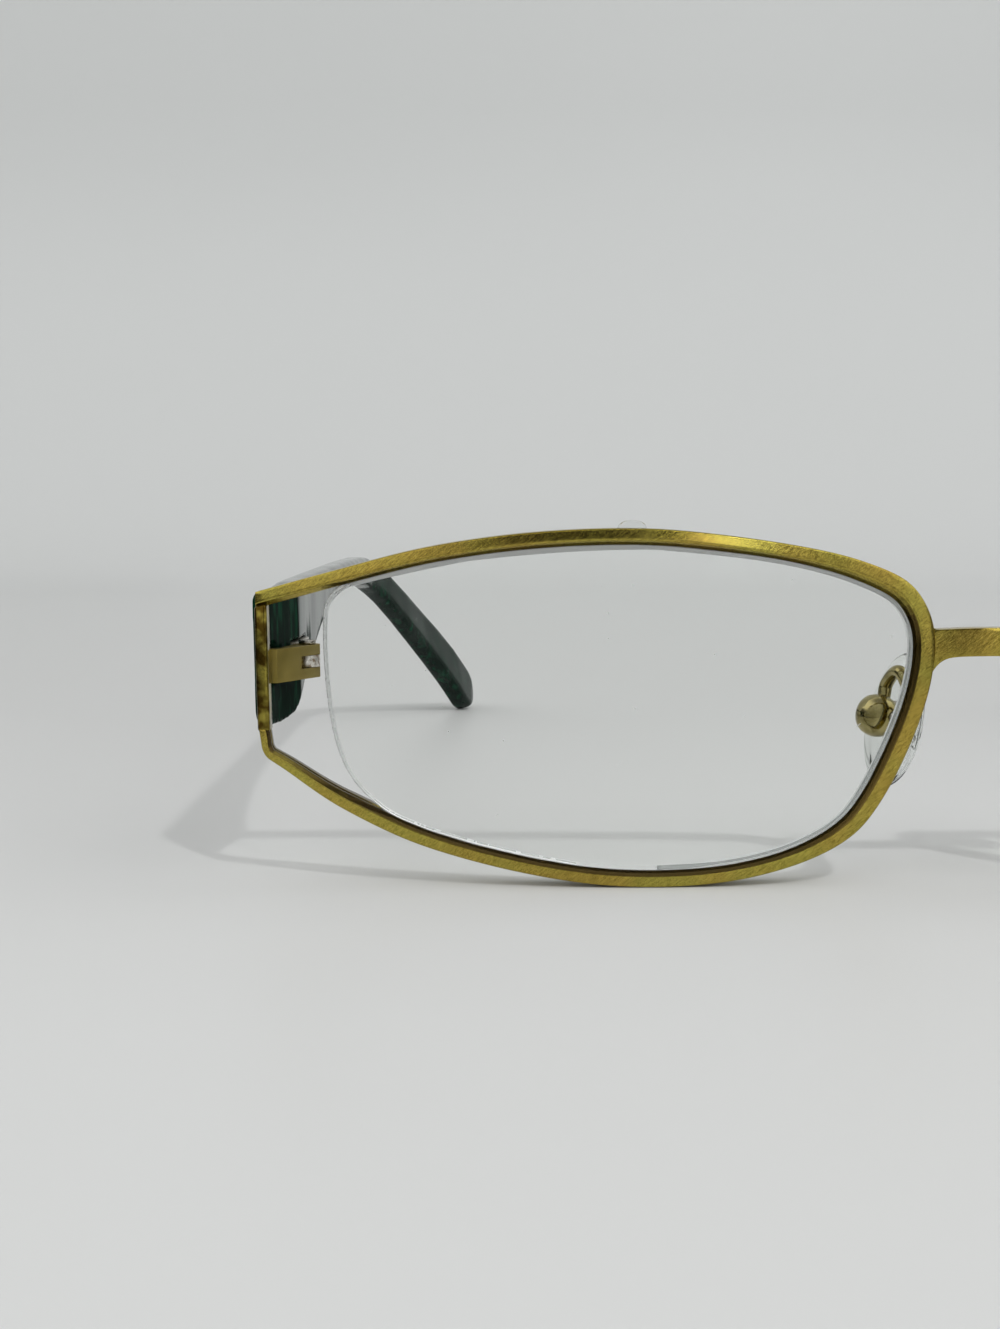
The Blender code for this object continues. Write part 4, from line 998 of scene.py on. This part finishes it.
def wire_piece(name, surface, growth=0.0):
    """A round wire or strand."""
    shape = merged_copy(name)
    join_flat(shape)
    swell(shape, growth)
    crease_edges(shape, WIRE_SHARP)
    dressed(name, shape, surface, levels=2, sharp=WIRE_SHARP)


def moulded_piece(name, surface):
    """A soft moulded form with crisp edges only where it is cut."""
    shape = merged_copy(name)
    join_flat(shape)
    crease_edges(shape, MOULDED_SHARP)
    dressed(name, shape, surface, levels=2, sharp=MOULDED_SHARP)


def box_middle(name):
    low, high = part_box(name)
    return (low + high) / 2


def blown_round(shape, share):
    """Draw every vertex that share of the way to the ball that the piece would fill."""
    spots = np.array([vert.co for vert in shape.verts])
    low, high = spots.min(axis=0), spots.max(axis=0)
    centre = Vector((low + high) / 2)
    radius = float(np.mean(high - low) / 2) * BALL_FULLNESS
    for vert in shape.verts:
        away = vert.co - centre
        vert.co = vert.co.lerp(centre + away.normalized() * radius, share)


def ball_cup(name, pad):
    """The pad box as a ball-like cup whose mouth faces the pad."""
    shape = merged_copy(name)
    bmesh.ops.delete(shape, geom=shape.faces, context="FACES_ONLY")
    bmesh.ops.convex_hull(shape, input=shape.verts)
    loose = [vert for vert in shape.verts if not vert.link_faces]
    bmesh.ops.delete(shape, geom=loose, context="VERTS")
    loose = [edge for edge in shape.edges if not edge.link_faces]
    bmesh.ops.delete(shape, geom=loose, context="EDGES")
    bmesh.ops.subdivide_edges(shape, edges=shape.edges, cuts=BOX_CUTS, use_grid_fill=True)
    blown_round(shape, BOX_ROUNDNESS)
    shape.normal_update()
    towards = (box_middle(pad) - box_middle(name)).normalized()
    mouth = [face for face in shape.faces if face.normal.dot(towards) > CUP_MOUTH_FACING]
    sunk = bmesh.ops.extrude_face_region(shape, geom=mouth)
    sunk_verts = [item for item in sunk["geom"] if isinstance(item, bmesh.types.BMVert)]
    bmesh.ops.translate(shape, verts=sunk_verts, vec=-towards * CUP_MOUTH_DEPTH)
    bmesh.ops.delete(shape, geom=mouth, context="FACES_ONLY")
    return shape


def tumbled_piece(name, shape, surface, voxel, rounds):
    """A piece polished in a tumbler: the mesh is remade evenly and its edges worn round."""
    mesh = bpy.data.meshes.new(name + "_raw")
    shape.to_mesh(mesh)
    shape.free()
    raw = bpy.data.objects.new(name + "_raw", mesh)
    bpy.context.scene.collection.objects.link(raw)
    remesh = raw.modifiers.new("remesh", "REMESH")
    remesh.mode = "VOXEL"
    remesh.voxel_size = voxel
    bpy.context.view_layer.update()
    graph = bpy.context.evaluated_depsgraph_get()
    even = bpy.data.meshes.new_from_object(raw.evaluated_get(graph))
    bpy.data.objects.remove(raw)
    polished = bmesh.new()
    polished.from_mesh(even)
    bpy.data.meshes.remove(even)
    for _ in range(rounds):
        bmesh.ops.smooth_vert(
            polished,
            verts=polished.verts,
            factor=0.5,
            use_axis_x=True,
            use_axis_y=True,
            use_axis_z=True,
        )
    dressed(name, polished, surface, sharp=TUMBLED_SHARP)


def sphere_sag(x, z):
    """How far the lens sphere lies behind its foremost point."""
    across = abs(x) - LENS_CENTRE_X
    up = z - LENS_CENTRE_Z
    return (across**2 + up**2) / (2 * BASE_CURVE_RADIUS)


def front_outline(name):
    """The edge of the lens's front face as evenly spaced X and Z, and the face's place in Y."""
    shape = merged_copy(name)
    edge = dict.fromkeys(
        vert
        for line in shape.edges
        for vert in line.verts
        if sum(face.normal.y < -FACING for face in line.link_faces) == 1
    )
    spots = np.array([vert.co for vert in edge])
    shape.free()
    front = np.mean([y - sphere_sag(x, z) for x, y, z in spots])
    centre = spots[:, [0, 2]].mean(axis=0)
    flat = spots[:, [0, 2]] - centre
    flat = flat[np.argsort(np.arctan2(flat[:, 1], flat[:, 0]))]
    loop = np.vstack([flat, flat[:1]])
    travel = np.concatenate([[0.0], np.cumsum(np.linalg.norm(np.diff(loop, axis=0), axis=1))])
    even = np.linspace(0.0, travel[-1], LENS_SPOKES, endpoint=False)
    points = np.column_stack([np.interp(even, travel, loop[:, axis]) for axis in (0, 1)])
    for _ in range(LENS_SMOOTHING):
        points = points / 2 + (np.roll(points, 1, axis=0) + np.roll(points, -1, axis=0)) / 4
    return points, centre, front


def add_ring(shape, edges, spoke, place):
    """Extrude a loop of edges and put each new vertex at the place for its spoke."""
    grown = bmesh.ops.extrude_edge_only(shape, edges=edges)["geom"]
    verts = {item for item in grown if isinstance(item, bmesh.types.BMVert)}
    for vert in verts:
        vert.co = place(vert[spoke])
    ring = {edge for vert in verts for edge in vert.link_edges if set(edge.verts) <= verts}
    return sorted(ring, key=lambda edge: sorted(vert[spoke] for vert in edge.verts))


def settle_order(shape):
    """Put edges and faces in the order of their vertices, so that each run gives the same mesh."""
    shape.verts.index_update()
    for parts in (shape.edges, shape.faces):
        ranked = sorted(parts, key=lambda part: sorted(vert.index for vert in part.verts))
        for rank, part in enumerate(ranked):
            part.index = rank
        parts.sort()


def groove_depth(x, z):
    """Half the width of the edge groove, which is cut deeper for the liner round the nose."""
    inside = min(NOSE_GROOVE_REACH - abs(x), NOSE_GROOVE_TOP - z)
    share = ramp(inside, 0.0, NOSE_GROOVE_FADE)
    return GROOVE_DEPTH + (NOSE_GROOVE_DEPTH - GROOVE_DEPTH) * share


def frost_and_painted_light(place):
    """How white the ground edge is: lightly frosted all round, and painted whiter under the top bar,
    though hardly where the lens is free, as painted light.
    """
    painted_light_under_bar = ramp(place.z, *PAINTED_LIGHT_HEIGHT) * (1.0 - ramp(abs(place.x), *PAINTED_LIGHT_FREE_X))
    return GROUND_CLEAR + (1.0 - GROUND_CLEAR) * painted_light_under_bar


def lens_piece(name, surface):
    """The lens with both faces exactly on their spheres, and a ground edge with its groove."""
    outline, centre, front = front_outline(name)
    ahead = np.roll(outline, -1, axis=0) - np.roll(outline, 1, axis=0)
    inwards = np.column_stack([-ahead[:, 1], ahead[:, 0]])
    inwards /= np.linalg.norm(inwards, axis=1, keepdims=True)

    def spot(number, share, inset, depth, opening=0.0):
        """A place on a spoke: inset and opening are in groove depths."""
        groove = groove_depth(*(centre + outline[number]))
        x, z = centre + outline[number] * share + inwards[number] * inset * groove
        return Vector((x, front + sphere_sag(x, z) + depth + opening * groove, z))

    shape = bmesh.new()
    spoke = shape.verts.layers.int.new("spoke")
    ground = shape.faces.layers.float.new("ground")
    circle = bmesh.ops.create_circle(shape, segments=LENS_SPOKES, radius=1.0)["verts"]
    for number, vert in enumerate(circle):
        vert[spoke] = number
        vert.co = spot(number, 1.0, 0.0, 0.0)
    rim = shape.edges[:]
    middle = LENS_THICKNESS / 2
    ring = rim
    for inset, depth, opening in (
        (0.0, middle, -1.0),
        (1.0, middle, 0.0),
        (0.0, middle, 1.0),
        (0.0, LENS_THICKNESS, 0.0),
    ):
        ring = add_ring(shape, ring, spoke, lambda n: spot(n, 1.0, inset, depth, opening))
    profile = set(shape.faces)
    for ring, depth in ((rim, 0.0), (ring, LENS_THICKNESS)):
        for share in LENS_SHARES:
            ring = add_ring(shape, ring, spoke, lambda n: spot(n, share, 0.0, depth))
        bmesh.ops.edgeloop_fill(shape, edges=ring)
    for face in shape.faces:
        # ground: the edge's frost, with painted light under the top bar
        face[ground] = frost_and_painted_light(face.calc_center_median()) if face in profile else 0.0
    settle_order(shape)
    bmesh.ops.recalc_face_normals(shape, faces=shape.faces)
    dressed(name, shape, surface, sharp=LENS_SHARP)


def dress_front():
    gold = brushed_gold()
    shiny = polished_gold()
    satin = satin_gold()
    steel = turned_steel()
    bar_piece("bridge", gold, RIM_EDGE, brazed_axis=0)
    for side in SIDES:
        bar_piece("rim_" + side, gold, RIM_EDGE)
        end_bar_piece("end_bar_" + side, shiny)
        edged_piece("hinge_block_" + side, satin, HINGE_EDGE)
        edged_piece("hinge_screw_" + side, steel, SCREW_EDGE)


def dress_lenses():
    resin = lens_resin()
    nylon = nylon_cord()
    liner = clear_liner()
    drop = clear_drop()
    for side in SIDES:
        lens_piece("lens_" + side, resin)
        wire_piece("lens_cord_" + side, nylon)
        wire_piece("rim_liner_" + side, liner, LINER_SWELL)
        wire_piece("liner_tab_" + side, drop, BEAD_SWELL)


def dress_pads():
    metal = polished_pad_metal()
    steel = turned_steel()
    silicone = clear_silicone()
    for side in SIDES:
        wire_piece("pad_arm_" + side, metal, PAD_ARM_SWELL)
        cup = ball_cup("pad_box_" + side, "nose_pad_" + side)
        tumbled_piece("pad_box_" + side, cup, metal, BOX_VOXEL, BOX_POLISH)
        edged_piece("pad_screw_" + side, steel, SCREW_EDGE)
        edged_piece("pad_insert_" + side, steel, SCREW_EDGE)
        moulded_piece("nose_pad_" + side, silicone)


def dress_temples():
    acetate = green_acetate()
    nickel = nickel_silver()
    for side in SIDES:
        arm = merged_copy("temple_" + side)
        tumbled_piece("temple_" + side, arm, acetate, TEMPLE_VOXEL, TEMPLE_POLISH)
        edged_piece("hinge_leaf_" + side, nickel, SCREW_EDGE)
        wire_piece("core_wire_" + side, nickel, WIRE_SWELL)


bpy.context.scene.view_settings.view_transform = "Standard"
make_camera()
make_sweep()
make_lights()
make_world()
dress_front()
dress_lenses()
dress_pads()
dress_temples()
